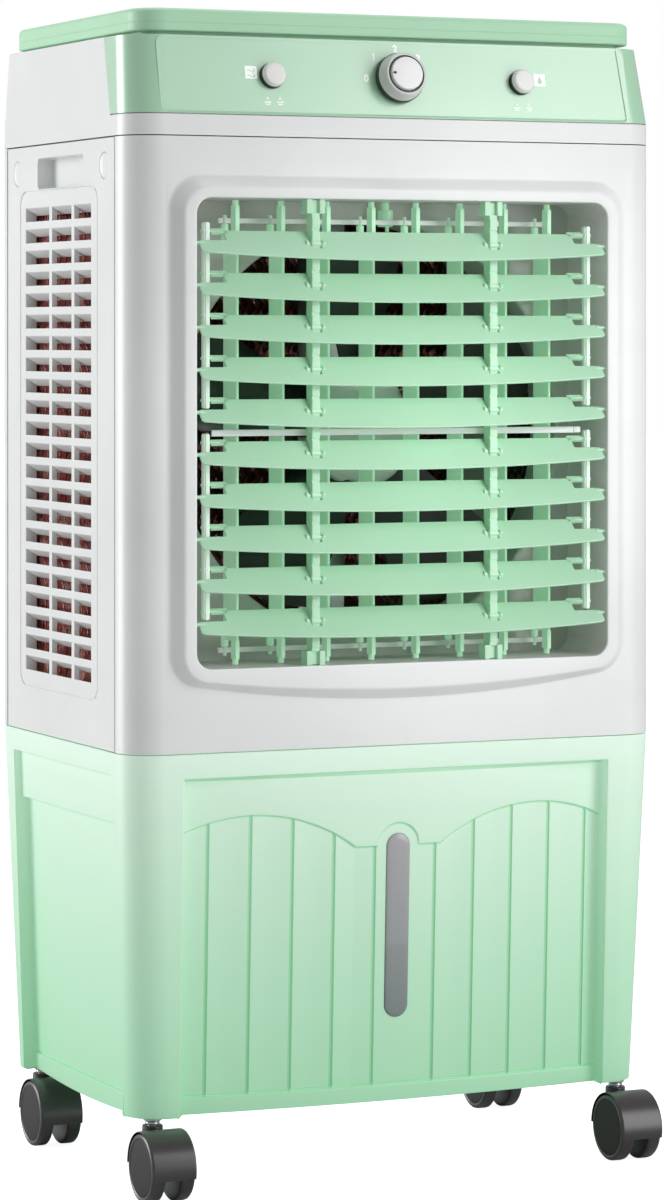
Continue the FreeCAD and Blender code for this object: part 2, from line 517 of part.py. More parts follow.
def fan_shroud():
    """Flat ring plate on the back of the outlet tunnel, with a duct around the fan."""
    plate = rounded_prism("y", TUNNEL_END, TUNNEL_END + SHROUD_T, -SHROUD_HALF_W, SHROUD_HALF_W,
                          OPEN_Z0 - WALL, OPEN_Z1 + WALL, (SHROUD_R,) * 4)
    duct = rod(DUCT_R + DUCT_T, (0, TUNNEL_END, OUTLET_Z), (0, DUCT_END, OUTLET_Z))
    return plate.fuse(duct).cut(rod(DUCT_R, (0, TUNNEL_END - 1, OUTLET_Z), (0, DUCT_END + 1, OUTLET_Z)))


def fan_impeller():
    """Five pitched blades on a domed hub, and the motor shaft pressed into the hub."""
    y0, y1 = -78.0, -46.0
    hub = rod(HUB_R, (0, y0 + 4.0, OUTLET_Z), (0, y1, OUTLET_Z))
    nose = Part.makeCone(HUB_R, HUB_R - 8.0, 4.0, Vector(0, y0 + 4.0, OUTLET_Z), Vector(0, -1, 0))
    blades = []
    for i in range(FAN_BLADES):
        sections = []
        for r, half_chord, pitch in ((HUB_R - 4.0, 24.0, 38.0), (FAN_R - 3.0, 50.0, 16.0)):
            lean = math.radians(pitch)
            along, across = Vector(math.cos(lean), math.sin(lean), 0), Vector(-math.sin(lean), math.cos(lean), 0)
            middle = Vector(0, (y0 + y1) / 2.0, OUTLET_Z + r)
            p = [middle + along * (half_chord * a) + across * (1.2 * b)
                 for a, b in ((-1, -1), (1, -1), (1, 1), (-1, 1))]
            sections.append(Part.makePolygon(p + p[:1]))
        blade = Part.makeLoft(sections, True, True)
        blades.append(turned(blade, (0, 0, OUTLET_Z), (0, 1, 0), 360.0 / FAN_BLADES * i))
    sweep = rod(FAN_R, (0, y0, OUTLET_Z), (0, y1, OUTLET_Z))
    wheel = fused([hub, nose] + blades).common(sweep)
    bore = rod(SHAFT_R, (0, y0 + 8.0, OUTLET_Z), (0, y1 + 1.0, OUTLET_Z))
    return [wheel.cut(bore), rod(SHAFT_R, (0, y0 + 8.0, OUTLET_Z), (0, -20.0, OUTLET_Z))]


def fan_motor():
    can = rod(45.0, (0, DUCT_END, OUTLET_Z), (0, 10.0, OUTLET_Z))
    neck = rod(12.0, (0, DUCT_END - 4.0, OUTLET_Z), (0, DUCT_END, OUTLET_Z))
    return can.fuse(neck).cut(rod(SHAFT_R + RUN, (0, DUCT_END - 5.0, OUTLET_Z), (0, -18.0, OUTLET_Z)))


def motor_bracket():
    """Strap behind the motor whose two legs reach forward to the shroud."""
    strap = box(-20.0, 20.0, 10.0, 13.0, OPEN_Z0, OPEN_Z1)
    legs = [box(-20.0, 20.0, TUNNEL_END + SHROUD_T, 10.0, z, z + 3.0) for z in (OPEN_Z0, OPEN_Z1 - 3.0)]
    return fused([strap] + legs)


# ---------------------------------------------------------------- pads and water

def side_pad():
    x1 = HALF_W - PAD_INSET
    return box(x1 - PAD_T, x1, SIDE_PAD_Y0, SIDE_PAD_Y1, PAD_Z0, PAD_Z1)


def rear_pad():
    y1 = HALF_D - PAD_INSET
    return box(-REAR_PAD_HALF, REAR_PAD_HALF, y1 - PAD_T, y1, PAD_Z0, PAD_Z1)


def water_tray():
    """Shallow tray that spreads water over the pads."""
    z = PAD_Z1 + PAD_FRAME
    tray = box(-200.0, 200.0, -68.0, 128.0, z, z + 24.0)
    tray = tray.cut(box(-198.0, 198.0, -66.0, 126.0, z + 2.0, z + 25.0))
    drips = [rod(2.0, (x, y, z - 1), (x, y, z + 3)) for x in (-195.0, 195.0) for y in range(-50, 101, 30)]
    drips += [rod(2.0, (x, 120.0, z - 1), (x, 120.0, z + 3)) for x in range(-150, 151, 50)]
    return tray.cut(drips + [rod(6.1, (PUMP_X, PUMP_Y, z - 1), (PUMP_X, PUMP_Y, z + 3))])


def water_pump():
    """Submersible pump on the tank floor, with its outlet spout on top."""
    floor = TANK_Z + TANK_WALL + 1.0
    body = box(PUMP_X - 24.0, PUMP_X + 24.0, PUMP_Y - 20.0, PUMP_Y + 20.0, floor, floor + 48.0)
    spout = rod(4.5, (PUMP_X, PUMP_Y, floor + 48.0), (PUMP_X, PUMP_Y, floor + 64.0))
    return fused([body, spout])


def riser_pipe():
    """Stiff pipe that carries water from the pump's spout up into the tray."""
    low, high = TANK_Z + TANK_WALL + 49.5, PAD_Z1 + PAD_FRAME + 10.0
    pipe = rod(6.0, (PUMP_X, PUMP_Y, low), (PUMP_X, PUMP_Y, high))
    return pipe.cut(rod(4.6, (PUMP_X, PUMP_Y, low - 1), (PUMP_X, PUMP_Y, high + 1)))


# ---------------------------------------------------------------- tank

def tank_front(z):
    """Depth of the tank's sloping front face at a height."""
    return -TANK_FOOT_HALF_D - (z - TANK_Z) * (HALF_D - TANK_FOOT_HALF_D) / (CASE_Z - TANK_Z)


def tank_side(z):
    return TANK_FOOT_HALF_W + (z - TANK_Z) * (HALF_W - TANK_FOOT_HALF_W) / (CASE_Z - TANK_Z)


def tank_body(inset, z0, z1):
    front_r, rear_r = FRONT_R - inset, REAR_R - inset
    radii = (front_r, front_r, rear_r, rear_r)
    ends = []
    for z in (z0, z1):
        half_w, half_d = tank_side(z) - inset, -tank_front(z) - inset
        ends.append(rounded_wire("z", z, -half_w, half_w, -half_d, half_d, radii))
    return Part.makeLoft(ends, True, True)


def bulge(x):
    """How far the bowed front panel stands forward at x, compared with its edges."""
    radius = (RECESS_HALF_W ** 2 + PANEL_BOW ** 2) / (2.0 * PANEL_BOW)
    return PANEL_BOW - radius + math.sqrt(radius ** 2 - x ** 2)


def front_layer(near, far, z0, z1, half_w=RECESS_HALF_W):
    """Bowed sheet that follows the tank's front panel; its edges lie between two depths behind the front face."""
    low, high = tank_front(z0), tank_front(z1)

    def at(x, depth):
        return Vector(x, low + depth - bulge(x), z0)

    bows = [Part.Arc(at(-half_w, depth), at(0.0, depth), at(half_w, depth)).toShape() for depth in (near, far)]
    ends = [Part.makeLine(at(x, near), at(x, far)) for x in (-half_w, half_w)]
    outline = Part.Wire(Part.__sortEdges__(bows + ends))
    return Part.Face(outline).extrude(Vector(0, high - low, z1 - z0))


def side_layer(near, far, y0, y1, z0, z1):
    """Slab parallel to the tank's right-hand face, between two depths behind it."""
    low, high = tank_side(z0), tank_side(z1)
    return prism("y", y0, y1, [(low - near, z0), (high - near, z1), (high - far, z1), (low - far, z0)])


def plank_outline():
    """Twin-arched top edge of the planked field, pushed through the front of the tank."""
    half_w = RECESS_HALF_W

    def at(x, z):
        return Vector(x, -HALF_D - 5.0, z)

    side_z = ARCH_Z - ARCH_R + math.sqrt(ARCH_R ** 2 - (half_w - ARCH_X) ** 2)
    foot_x = ARCH_X - math.sqrt(ARCH_R ** 2 - (ARCH_R - ARCH_Z + FLAT_Z) ** 2)
    bump_r = GAUGE_HALF_W + 7.8
    right = [Part.makeLine(at(bump_r, FLAT_Z), at(foot_x, FLAT_Z)),
             Part.Arc(at(foot_x, FLAT_Z), at(ARCH_X, ARCH_Z), at(half_w, side_z)).toShape(),
             Part.makeLine(at(half_w, side_z), at(half_w, SKIRT_Z))]
    bump = Part.Arc(at(-bump_r, FLAT_Z), at(0, FLAT_Z + bump_r), at(bump_r, FLAT_Z)).toShape()
    floor = Part.makeLine(at(half_w, SKIRT_Z), at(-half_w, SKIRT_Z))
    edges = [bump, floor] + right + [mirrored(edge) for edge in right]
    return Part.Face(Part.Wire(Part.__sortEdges__(edges))).extrude(Vector(0, 40.0, 0))


def plank_grooves():
    near = RECESS_D + FIELD_D
    sheet = front_layer(near - 0.5, near + GROOVE_D, SKIRT_Z, RECESS_Z1)
    cuts = [box(first + i * step - GROOVE_W / 2.0, first + i * step + GROOVE_W / 2.0,
                -HALF_D, -HALF_D + 40.0, SKIRT_Z, RECESS_Z1) for first, step in PLANK_GROOVES for i in range(5)]
    return sheet.common(cuts).common(plank_outline())


def gauge(grow, near, far):
    """Stadium-shaped piece of the front wall around the level gauge."""
    half_w, low, high = GAUGE_HALF_W + grow, GAUGE_Z0 - grow, GAUGE_Z1 + grow
    slot = stadium("y", -HALF_D - 5.0, -HALF_D + 45.0, 0.0, half_w, low, high)
    return slot.common(front_layer(near, far, SKIRT_Z, RECESS_Z1))


def tank_recesses():
    """Panels sunk into the front and both sides, open at the foot, with a proud skirt along the foot."""
    z0, foot = TANK_Z - 1.0, SIDE_RECESS_D - SKIRT_OUT
    side = [side_layer(-2.0, foot, SIDE_RECESS_Y0, SIDE_RECESS_Y1, z0, SIDE_STEP_Z),
            side_layer(foot - 1.0, SIDE_RECESS_D, SIDE_RECESS_Y0, SIDE_RECESS_Y1, SKIRT_Z, SIDE_STEP_Z),
            side_layer(-2.0, SIDE_STEP_D, SIDE_RECESS_Y0, SIDE_RECESS_Y1, SIDE_STEP_Z, SIDE_RECESS_Z1)]
    planked = front_layer(RECESS_D - 1.0, RECESS_D + FIELD_D, SKIRT_Z, RECESS_Z1)
    front = [front_layer(-2.0, RECESS_D, z0, RECESS_Z1), planked.common(plank_outline())]
    return front + side + [mirrored(cut) for cut in side]


def foot_bows():
    """Crescents that let the lower edge of each side panel hang a little in its middle."""
    x = tank_side(TANK_Z) - SIDE_RECESS_D + SKIRT_OUT - TANK_WALL
    y0, y1 = SIDE_RECESS_Y0, SIDE_RECESS_Y1 - BOW_SHORT
    start, end = Vector(x, y0, TANK_Z), Vector(x, y1, TANK_Z)
    middle = Vector(x, (y0 + y1) / 2.0, TANK_Z - SIDE_SAG)
    rise = Vector(0, 0, TANK_WALL)
    wire = Part.Wire([Part.Arc(start, middle, end).toShape(), Part.makeLine(end, end + rise),
                      Part.makeLine(end + rise, start + rise), Part.makeLine(start + rise, start)])
    return both_sides(Part.Face(wire).extrude(Vector(TANK_WALL, 0, 0)))


def water_tank():
    """Open-topped tank with sunk panels, a planked front, caster sockets, filler and drain."""
    depth = RECESS_D + FIELD_D
    outer = tank_body(0.0, TANK_Z, CASE_Z)
    cavity = tank_body(TANK_WALL, TANK_Z + TANK_WALL + 1.0, CASE_Z)
    side_walls = side_layer(0.0, SIDE_RECESS_D + TANK_WALL, SIDE_RECESS_Y0 - 3, SIDE_RECESS_Y1 + 3,
                            TANK_Z, SIDE_RECESS_Z1 + 3)
    front_wall = front_layer(0.0, depth + TANK_WALL, TANK_Z, RECESS_Z1 + 3, RECESS_HALF_W + 3)
    rear_wall = box(-DOOR_HALF_W - 6, DOOR_HALF_W + 6, DOOR_Y - 5.5, HALF_D, DOOR_Z0 - 5, DOOR_Z1 + 5)
    drain_wall = rod(18.0, (DRAIN_X, HALF_D - 17.0, DRAIN_Z), (DRAIN_X, HALF_D, DRAIN_Z))
    corners = [(x, y) for x in (-CASTER_X, CASTER_X) for y in (-CASTER_Y, CASTER_Y)]
    sockets = [rod(9.0, (x, y, TANK_Z), (x, y, TANK_Z + 32.0)) for x, y in corners]
    cavity = cavity.cut([front_wall, rear_wall, drain_wall] + both_sides(side_walls) + sockets)
    rear_cuts = [box(-DOOR_HALF_W - 1, DOOR_HALF_W + 1, DOOR_Y - 2.5, HALF_D + 5, DOOR_Z0 - 2, DOOR_Z1 + 1),
                 box(-DOOR_HALF_W + 6, DOOR_HALF_W - 6, HALF_D - 20, HALF_D, DOOR_Z0 + 7, DOOR_Z1 - 5),
                 rod(1.2 + RUN, (-DOOR_HALF_W - 3, DOOR_Y + 1.25, DOOR_Z0 + 2.5),
                     (DOOR_HALF_W + 3, DOOR_Y + 1.25, DOOR_Z0 + 2.5)),
                 rod(14.0, (DRAIN_X, HALF_D - 11.5, DRAIN_Z), (DRAIN_X, HALF_D + 5, DRAIN_Z)),
                 rod(8.0, (DRAIN_X, HALF_D - 25.0, DRAIN_Z), (DRAIN_X, HALF_D, DRAIN_Z))]
    stems = [rod(STEM_PIN_R + 0.02, (x, y, TANK_Z - 1), (x, y, TANK_Z + 27.0)) for x, y in corners]
    front_cuts = [plank_grooves(), gauge(0.1, 0.0, depth + 10.0)]
    shell = outer.cut(cavity).cut(tank_recesses() + front_cuts + rear_cuts + stems)
    return shell.fuse(foot_bows()).removeSplitter()


def level_window():
    """Smoky strip in the tank's front wall, held by a wider flange behind it."""
    face, back = RECESS_D + FIELD_D - 0.3, RECESS_D + FIELD_D + TANK_WALL
    return gauge(0.0, face, back + 0.05).fuse(gauge(3.0, back + 0.05, back + 1.6)).removeSplitter()


def fill_door():
    """Filler flap on the rear of the tank, on two pins at its lower edge."""
    flap = box(-DOOR_HALF_W, DOOR_HALF_W, DOOR_Y, DOOR_Y + 2.5, DOOR_Z0, DOOR_Z1)
    end = DOOR_HALF_W + 2.5
    pin = rod(1.2, (-end, DOOR_Y + 1.25, DOOR_Z0 + 2.5), (end, DOOR_Y + 1.25, DOOR_Z0 + 2.5))
    tab = box(-10.0, 10.0, DOOR_Y + 2.5, DOOR_Y + 4.5, DOOR_Z1 - 5.0, DOOR_Z1 - 2.0)
    return fused([flap, pin, tab])


def drain_plug():
    head = rod(12.0, (DRAIN_X, HALF_D - 11.5, DRAIN_Z), (DRAIN_X, HALF_D - 6.5, DRAIN_Z))
    return fused([head, rod(7.9, (DRAIN_X, HALF_D - 22.0, DRAIN_Z), (DRAIN_X, HALF_D - 11.5, DRAIN_Z))])


# ---------------------------------------------------------------- casters

def caster_stems():
    """Steel stems pressed into the tank, each with a collar above the hood."""
    stems = []
    for x in (-CASTER_X, CASTER_X):
        for y in (-CASTER_Y, CASTER_Y):
            pin = rod(STEM_PIN_R, (x, y, 36.0), (x, y, TANK_Z + 26.0))
            stems.append(fused([pin, rod(7.0, (x, y, TANK_Z - 2.0), (x, y, TANK_Z)),
                                rod(5.5, (x, y, 55.0), (x, y, TANK_Z - 2.0))]))
    return stems


def caster_hood(side_x, side_y):
    """Swivelling hood that covers the top of both wheels and carries the axle in its middle web."""
    x, stem_y = side_x * CASTER_X, side_y * CASTER_Y
    y, z = stem_y - TRAIL, WHEEL_R
    cover = rod(HOOD_R, (x - WHEEL_OUT, y, z), (x + WHEEL_OUT, y, z))
    boss = rod(8.0, (x, stem_y, z + 4.0), (x, stem_y, 54.5))
    below = box(x - 30, x + 30, y - 40, y + 40, z - 40, z - 6.0)
    wheels = [rod(WHEEL_R + 0.6, (x + s * (WEB_HALF + 0.1), y, z), (x + s * 30.0, y, z)) for s in (-1, 1)]
    bores = [rod(AXLE_R + RUN, (x - 10, y, z), (x + 10, y, z)),
             rod(STEM_PIN_R + RUN, (x, stem_y, 30.0), (x, stem_y, 60.0))]
    rear = box(x - 30, x + 30, y + 21.0, y + 40, z - 40, z)
    return cover.fuse(boss).cut([below, rear] + wheels + bores).removeSplitter()


def caster_wheels(side_x, side_y):
    """Twin wheels on their common axle, with dished outer faces."""
    x, y, z = side_x * CASTER_X, side_y * CASTER_Y - TRAIL, WHEEL_R
    pieces = [rod(AXLE_R, (x - WHEEL_IN - 6.0, y, z), (x + WHEEL_IN + 6.0, y, z))]
    for s in (-1, 1):
        wheel = rod(WHEEL_R, (x + s * WHEEL_IN, y, z), (x + s * WHEEL_OUT, y, z))
        dish = rod(WHEEL_R - 4.0, (x + s * (WHEEL_OUT - 0.8), y, z), (x + s * (WHEEL_OUT + 1.0), y, z))
        pieces.append(wheel.cut(dish))
    return fused(pieces)


# ---------------------------------------------------------------- parts

def shelled_parts():
    side, pad = side_panel(), side_pad()
    return {
        "top_cover": top_cover(), "control_box": control_box(), "control_panel": control_panel(),
        "front_frame": front_frame(), "rear_panel": rear_panel(), "side_panel_right": side,
        "side_panel_left": mirrored(side), "pad_right": pad, "pad_left": mirrored(pad), "pad_rear": rear_pad(),
        "screw_caps": screw_caps(), "assembly_screws": assembly_screws(), "water_tray": water_tray(),
        "water_pump": water_pump(), "riser_pipe": riser_pipe(), "water_tank": water_tank(),
        "level_window": level_window(), "fill_door": fill_door(), "drain_plug": drain_plug()}


def working_parts():
    parts = {
        "speed_knob": speed_knob(), "swing_button": push_button(-1), "cooling_button": push_button(1),
        "switch_bodies": switch_bodies(), "louvre_frame": louvre_frame(), "upper_tie_bars": tie_bars(1),
        "lower_tie_bars": tie_bars(-1), "vane_tie_rods": vane_tie_rods(), "swing_crank": swing_crank(),
        "swing_motor": swing_motor(), "fan_shroud": fan_shroud(), "fan_impeller": fan_impeller(),
        "fan_motor": fan_motor(), "motor_bracket": motor_bracket(), "caster_stems": caster_stems()}
    for name, side in (("upper", 1), ("lower", -1)):
        for number, z in enumerate(blade_heights(side), 1):
            parts[f"{name}_blade_{number}"] = louvre_blade(z)
    for number, x in enumerate(vane_places(), 1):
        parts[f"vane_{number}"] = swing_vane(x)
    for place, side_x, side_y in (("front_left", -1, -1), ("front_right", 1, -1),
                                  ("rear_left", -1, 1), ("rear_right", 1, 1)):
        parts[f"caster_hood_{place}"] = caster_hood(side_x, side_y)
        parts[f"caster_wheels_{place}"] = caster_wheels(side_x, side_y)
    return parts


def export(parts):
    os.makedirs("parts", exist_ok=True)
    for node, shape in parts.items():
        solids = [solid for piece in (shape if isinstance(shape, list) else [shape]) for solid in piece.Solids]
        whole = solids[0] if len(solids) == 1 else Part.makeCompound(solids)
        whole = whole.copy()
        whole.translate(Vector(0, DEPTH_SHIFT, 0))
        whole.exportStep(f"parts/{node}.step")
        print(f"{node:28s} {len(solids)} solid(s)  {whole.Volume / 1000.0:9.2f} cm3  valid {whole.isValid()}")


export({**shelled_parts(), **working_parts()})
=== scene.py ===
# %% [markdown]
# An evaporative cooler is a wet box with a fan in it. Water waits in the mint tank at the bottom, runs over
# brown pads behind the grilles, and the fan pulls room air through them and out of the louvred front. The
# working parts come as a fixed frame of solids; this lesson gives each of them the shape and finish that
# the eye sees.

# %% Load the frame
import json
import math

import bmesh
import bpy
from mathutils import Matrix, Vector

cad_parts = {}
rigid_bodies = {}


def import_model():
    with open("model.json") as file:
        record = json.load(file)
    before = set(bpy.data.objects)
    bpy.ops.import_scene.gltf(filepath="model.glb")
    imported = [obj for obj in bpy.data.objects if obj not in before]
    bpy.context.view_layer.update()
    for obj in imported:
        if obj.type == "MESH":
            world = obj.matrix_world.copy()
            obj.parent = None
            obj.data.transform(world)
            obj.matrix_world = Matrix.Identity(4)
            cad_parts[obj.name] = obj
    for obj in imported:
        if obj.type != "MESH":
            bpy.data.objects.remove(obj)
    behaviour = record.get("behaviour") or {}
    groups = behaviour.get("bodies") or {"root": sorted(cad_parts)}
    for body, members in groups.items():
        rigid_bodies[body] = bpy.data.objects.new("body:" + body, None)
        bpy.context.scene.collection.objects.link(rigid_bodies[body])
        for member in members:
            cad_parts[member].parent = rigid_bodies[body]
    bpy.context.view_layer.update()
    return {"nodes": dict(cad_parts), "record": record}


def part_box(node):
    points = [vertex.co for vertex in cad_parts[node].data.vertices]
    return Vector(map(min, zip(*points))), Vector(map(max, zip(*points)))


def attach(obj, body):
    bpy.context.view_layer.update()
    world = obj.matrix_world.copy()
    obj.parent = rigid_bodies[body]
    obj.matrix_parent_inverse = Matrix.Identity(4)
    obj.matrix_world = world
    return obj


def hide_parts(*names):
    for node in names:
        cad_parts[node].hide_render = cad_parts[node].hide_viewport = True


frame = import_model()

scene = bpy.context.scene
nodes = frame["nodes"]

# %% [markdown]
# The main positions are taken from the frame's own boxes, so that the shapes stay where the working parts
# are. `span` gives a node's lowest and highest corner in metres. `MID_Y` is the middle of the case from
# front to back. It isn't zero: the origin is the middle of the whole cooler, and the casters reach out in
# front.

# %% Landmarks
def span(node):
    """Lowest and highest corner of a working part, in metres."""
    low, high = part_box(node)
    return Vector(low), Vector(high)


tank_low, tank_high = span("water_tank")
lid_low, lid_high = span("top_cover")
HALF_W = tank_high.x
FRONT_Y, BACK_Y = tank_low.y, tank_high.y
MID_Y = (FRONT_Y + BACK_Y) / 2
SEAM_Z = tank_high.z
BOX_Z = span("control_box")[0].z
print(f"body: {2 * HALF_W:.3f} wide, {BACK_Y - FRONT_Y:.3f} deep, lid at {lid_high.z:.3f}")

# %% [markdown]
# ## Finishes
# A finish is a small tree of shader nodes. It could be wired by hand in the Shader Editor; here a class
# keeps the main shader and the object coordinates at hand, so that one finish takes a few readable lines.

# %% Finish helpers
def srgb(red, green, blue):
    """Screen colour, 0 to 255, as the linear colour that shaders use."""
    def channel(value):
        value /= 255
        return value / 12.92 if value <= 0.04045 else ((value + 0.055) / 1.055) ** 2.4
    return (channel(red), channel(green), channel(blue), 1.0)


def darker(colour, share):
    return tuple(c * share for c in colour[:3]) + (1.0,)


def set_up(node, settings):
    """Sets a node's sockets or other settings by name; an underscore stands for a space."""
    for name, value in settings.items():
        socket = name.replace("_", " ")
        if socket in node.inputs:
            node.inputs[socket].default_value = value
        else:
            setattr(node, name, value)
    return node


class Finish:
    """A material with its node tree, its main shader and object coordinates at hand."""

    def __init__(self, name):
        self.material = bpy.data.materials.new(name)
        self.material.use_nodes = True
        self.tree = self.material.node_tree
        self.shader = self.tree.nodes["Principled BSDF"]
        self.place = self.node("ShaderNodeTexCoord").outputs["Object"]

    def node(self, kind, **settings):
        return set_up(self.tree.nodes.new(kind), settings)

    def link(self, output, socket):
        self.tree.links.new(output, socket)

    def skin(self, **sockets):
        set_up(self.shader, sockets)

    def maths(self, operation, *outputs):
        made = self.node("ShaderNodeMath", operation=operation)
        for output, socket in zip(outputs, made.inputs):
            self.link(output, socket)
        return made.outputs[0]

    def along(self, axis):
        """Object coordinate along one axis."""
        split = self.node("ShaderNodeSeparateXYZ")
        self.link(self.place, split.inputs["Vector"])
        return split.outputs[axis]

    def share(self, output, low, high):
        """Runs from 0 to 1 as a value runs from low to high."""
        made = self.node("ShaderNodeMapRange", From_Min=low, From_Max=high)
        self.link(output, made.inputs["Value"])
        return made.outputs["Result"]

    def noise(self, scale, detail=2.0, stretch=(1, 1, 1)):
        mapping = self.node("ShaderNodeMapping", Scale=stretch)
        self.link(self.place, mapping.inputs["Vector"])
        noise = self.node("ShaderNodeTexNoise", Scale=scale, Detail=detail)
        self.link(mapping.outputs["Vector"], noise.inputs["Vector"])
        return noise.outputs["Fac"]

    def ramp(self, factor, stops):
        ramp = self.node("ShaderNodeValToRGB")
        elements = ramp.color_ramp.elements
        while len(elements) < len(stops):
            elements.new(0.5)
        for element, (position, colour) in zip(elements, stops):
            element.position, element.color = position, colour
        self.link(factor, ramp.inputs["Fac"])
        return ramp.outputs["Color"]

    def colour(self, output):
        self.link(output, self.shader.inputs["Base Color"])

    def bump(self, height, strength, distance):
        bump = self.node("ShaderNodeBump", Strength=strength, Distance=distance)
        self.link(height, bump.inputs["Height"])
        self.link(bump.outputs["Normal"], self.shader.inputs["Normal"])

# %% [markdown]
# Most of the cooler is injection-moulded ABS, which is never one flat colour: it has a faint cloudiness, a
# very fine grain and a soft clear shine. One function makes all such finishes, so that the parts look as if
# they came from one factory.
#
# The white inside the air outlet has a painted warm tint, which cancels the green light from the blades in
# front of it. Thin mint parts glow faintly in their own colour: painted light that stands in for the light
# passing through them, since a real shader for that is slow. The tie bars, narrow and lit all round, are
# painted the palest, which is a painted highlight.

# %% Plastic finishes
GRAIN, GRAIN_HEIGHT = 2600.0, 0.00004


def moulded(name, colour, roughness=0.34, coat=0.25, cloud=0.025, coat_ior=1.5, coat_rough=0.18, glow=0.0):
    """Injection-moulded plastic: faint cloudiness in the colour, fine grain in the skin."""
    finish = Finish(name)
    light = tuple(min(1.0, c * (1 + cloud)) for c in colour[:3]) + (1.0,)
    finish.colour(finish.ramp(finish.noise(9.0, 3.0), ((0.35, darker(colour, 1 - cloud)), (0.65, light))))
    finish.bump(finish.noise(GRAIN, 1.0), 0.12, GRAIN_HEIGHT)
    finish.skin(Roughness=roughness, Coat_Weight=coat, Coat_Roughness=coat_rough, Coat_IOR=coat_ior,
                Emission_Color=colour, Emission_Strength=glow)
    return finish.material


white_abs = moulded("white_abs", srgb(236, 239, 238), roughness=0.38)
# Painted light: the tunnel's white has a warm tint that cancels the green light from the blades.
tunnel_white = moulded("tunnel_white", srgb(230, 218, 223), roughness=0.5, coat=0.1)
mint_abs = moulded("mint_abs", srgb(170, 218, 182), roughness=0.3, coat=0.7)
# Painted light: the blades, tie bars and vanes glow faintly in their own colour.
mint_blade = moulded("mint_blade", srgb(186, 230, 198), glow=0.03)
# Painted highlight: the tie bars' mint is paler than the blades', as if lit all round, and glows a little.
mint_pale = moulded("mint_pale", srgb(226, 246, 231), coat=0.5, glow=0.12)
mint_gloss = moulded("mint_gloss", srgb(171, 220, 184), roughness=0.36, coat=1.0, coat_ior=1.9,
                     coat_rough=0.28)
mint_lid = moulded("mint_lid", srgb(180, 228, 192), roughness=0.5, coat=0.1)
mint_vane = moulded("mint_vane", srgb(176, 226, 190), roughness=0.4, glow=0.26)
grey_abs = moulded("grey_abs", srgb(205, 206, 204), roughness=0.3)
button_grey = moulded("button_grey", srgb(236, 237, 235), roughness=0.28)
knob_satin = moulded("knob_satin", srgb(212, 213, 210), roughness=0.3, coat=0.5)
knob_cap_white = moulded("knob_cap_white", srgb(243, 244, 243), roughness=0.3)
# Painted shade: this dark colours the faces inside the side panels' seams, the knob's skirt and groove and
# the buttons' barrels; it is also the real colour of the knob's pointer.
groove_black = moulded("groove_black", srgb(40, 42, 42), roughness=0.5)
# Painted light: the nylon black has a warm tint that cancels the green light the tank reflects onto it.
black_nylon = moulded("black_nylon", srgb(40, 32, 35), roughness=0.36, coat=0.9, cloud=0.1, coat_rough=0.32)
disc_nylon = moulded("disc_nylon", srgb(27, 26, 27), roughness=0.6, coat=0.0, cloud=0.06)
pump_black = moulded("pump_black", srgb(40, 40, 42), roughness=0.5)
print("plastic finishes:", len(bpy.data.materials))

# %% [markdown]
# The tank is thin, slightly milky mint plastic. Its colour is lighter at the rim and deeper towards the
# foot: painted light, for the light that leaks in at the rim and fades on the way down. A ramp on the
# object's own height paints it, and the tank also glows faintly in mint, which is painted light as well.
# Grooves, and bands under the arch step and the panel's upper edge, get a darker ramp: painted shade.

# %% Tank plastic
TANK_GLOW, GLOW_STRENGTH = (0.43, 0.83, 0.55, 1.0), 0.2
SHADE_HEIGHTS = (0, 0.45, 0.85, 1.0)


def tank_plastic(name, *shades):
    """Milky plastic whose colour follows the height between foot and rim, as painted light; it also glows
    faintly.
    """
    finish = Finish(name)
    height = finish.share(finish.along("Z"), tank_low.z, tank_high.z)
    finish.colour(finish.ramp(height, list(zip(SHADE_HEIGHTS, shades))))
    finish.bump(finish.noise(2400.0, 1.0), 0.1, GRAIN_HEIGHT)
    finish.skin(Roughness=0.36, Coat_Weight=0.1, Emission_Color=TANK_GLOW, Emission_Strength=GLOW_STRENGTH)
    return finish.material


mint_tank = tank_plastic("mint_tank", srgb(160, 212, 175), srgb(187, 223, 196), srgb(214, 235, 219),
                         srgb(226, 241, 230))
# Painted shade: a darker ramp for the grooves and for the bands in shadow under the arch step and the panel's
# upper edge.
mint_groove = tank_plastic("mint_groove", srgb(126, 192, 144), srgb(148, 204, 163), srgb(168, 214, 180),
                           srgb(178, 218, 188))
print("tank finishes:", mint_tank.name, mint_groove.name)

# %% [markdown]
# The pads are corrugated cellulose, dyed brown-red and wet. The channels are real geometry later on; the
# paper itself needs fibre streaks and wet patches. Room light reaches only a pad's outer side, and the side
# towards the fan lies in shade, painted into the colour as a dark brown: the finish goes from lit to
# painted shade within about a centimetre of depth.

# %% Wet paper
LIT_SIDE = (0.196, 0.206)
LIT_REAR = (MID_Y + 0.112, MID_Y + 0.124)


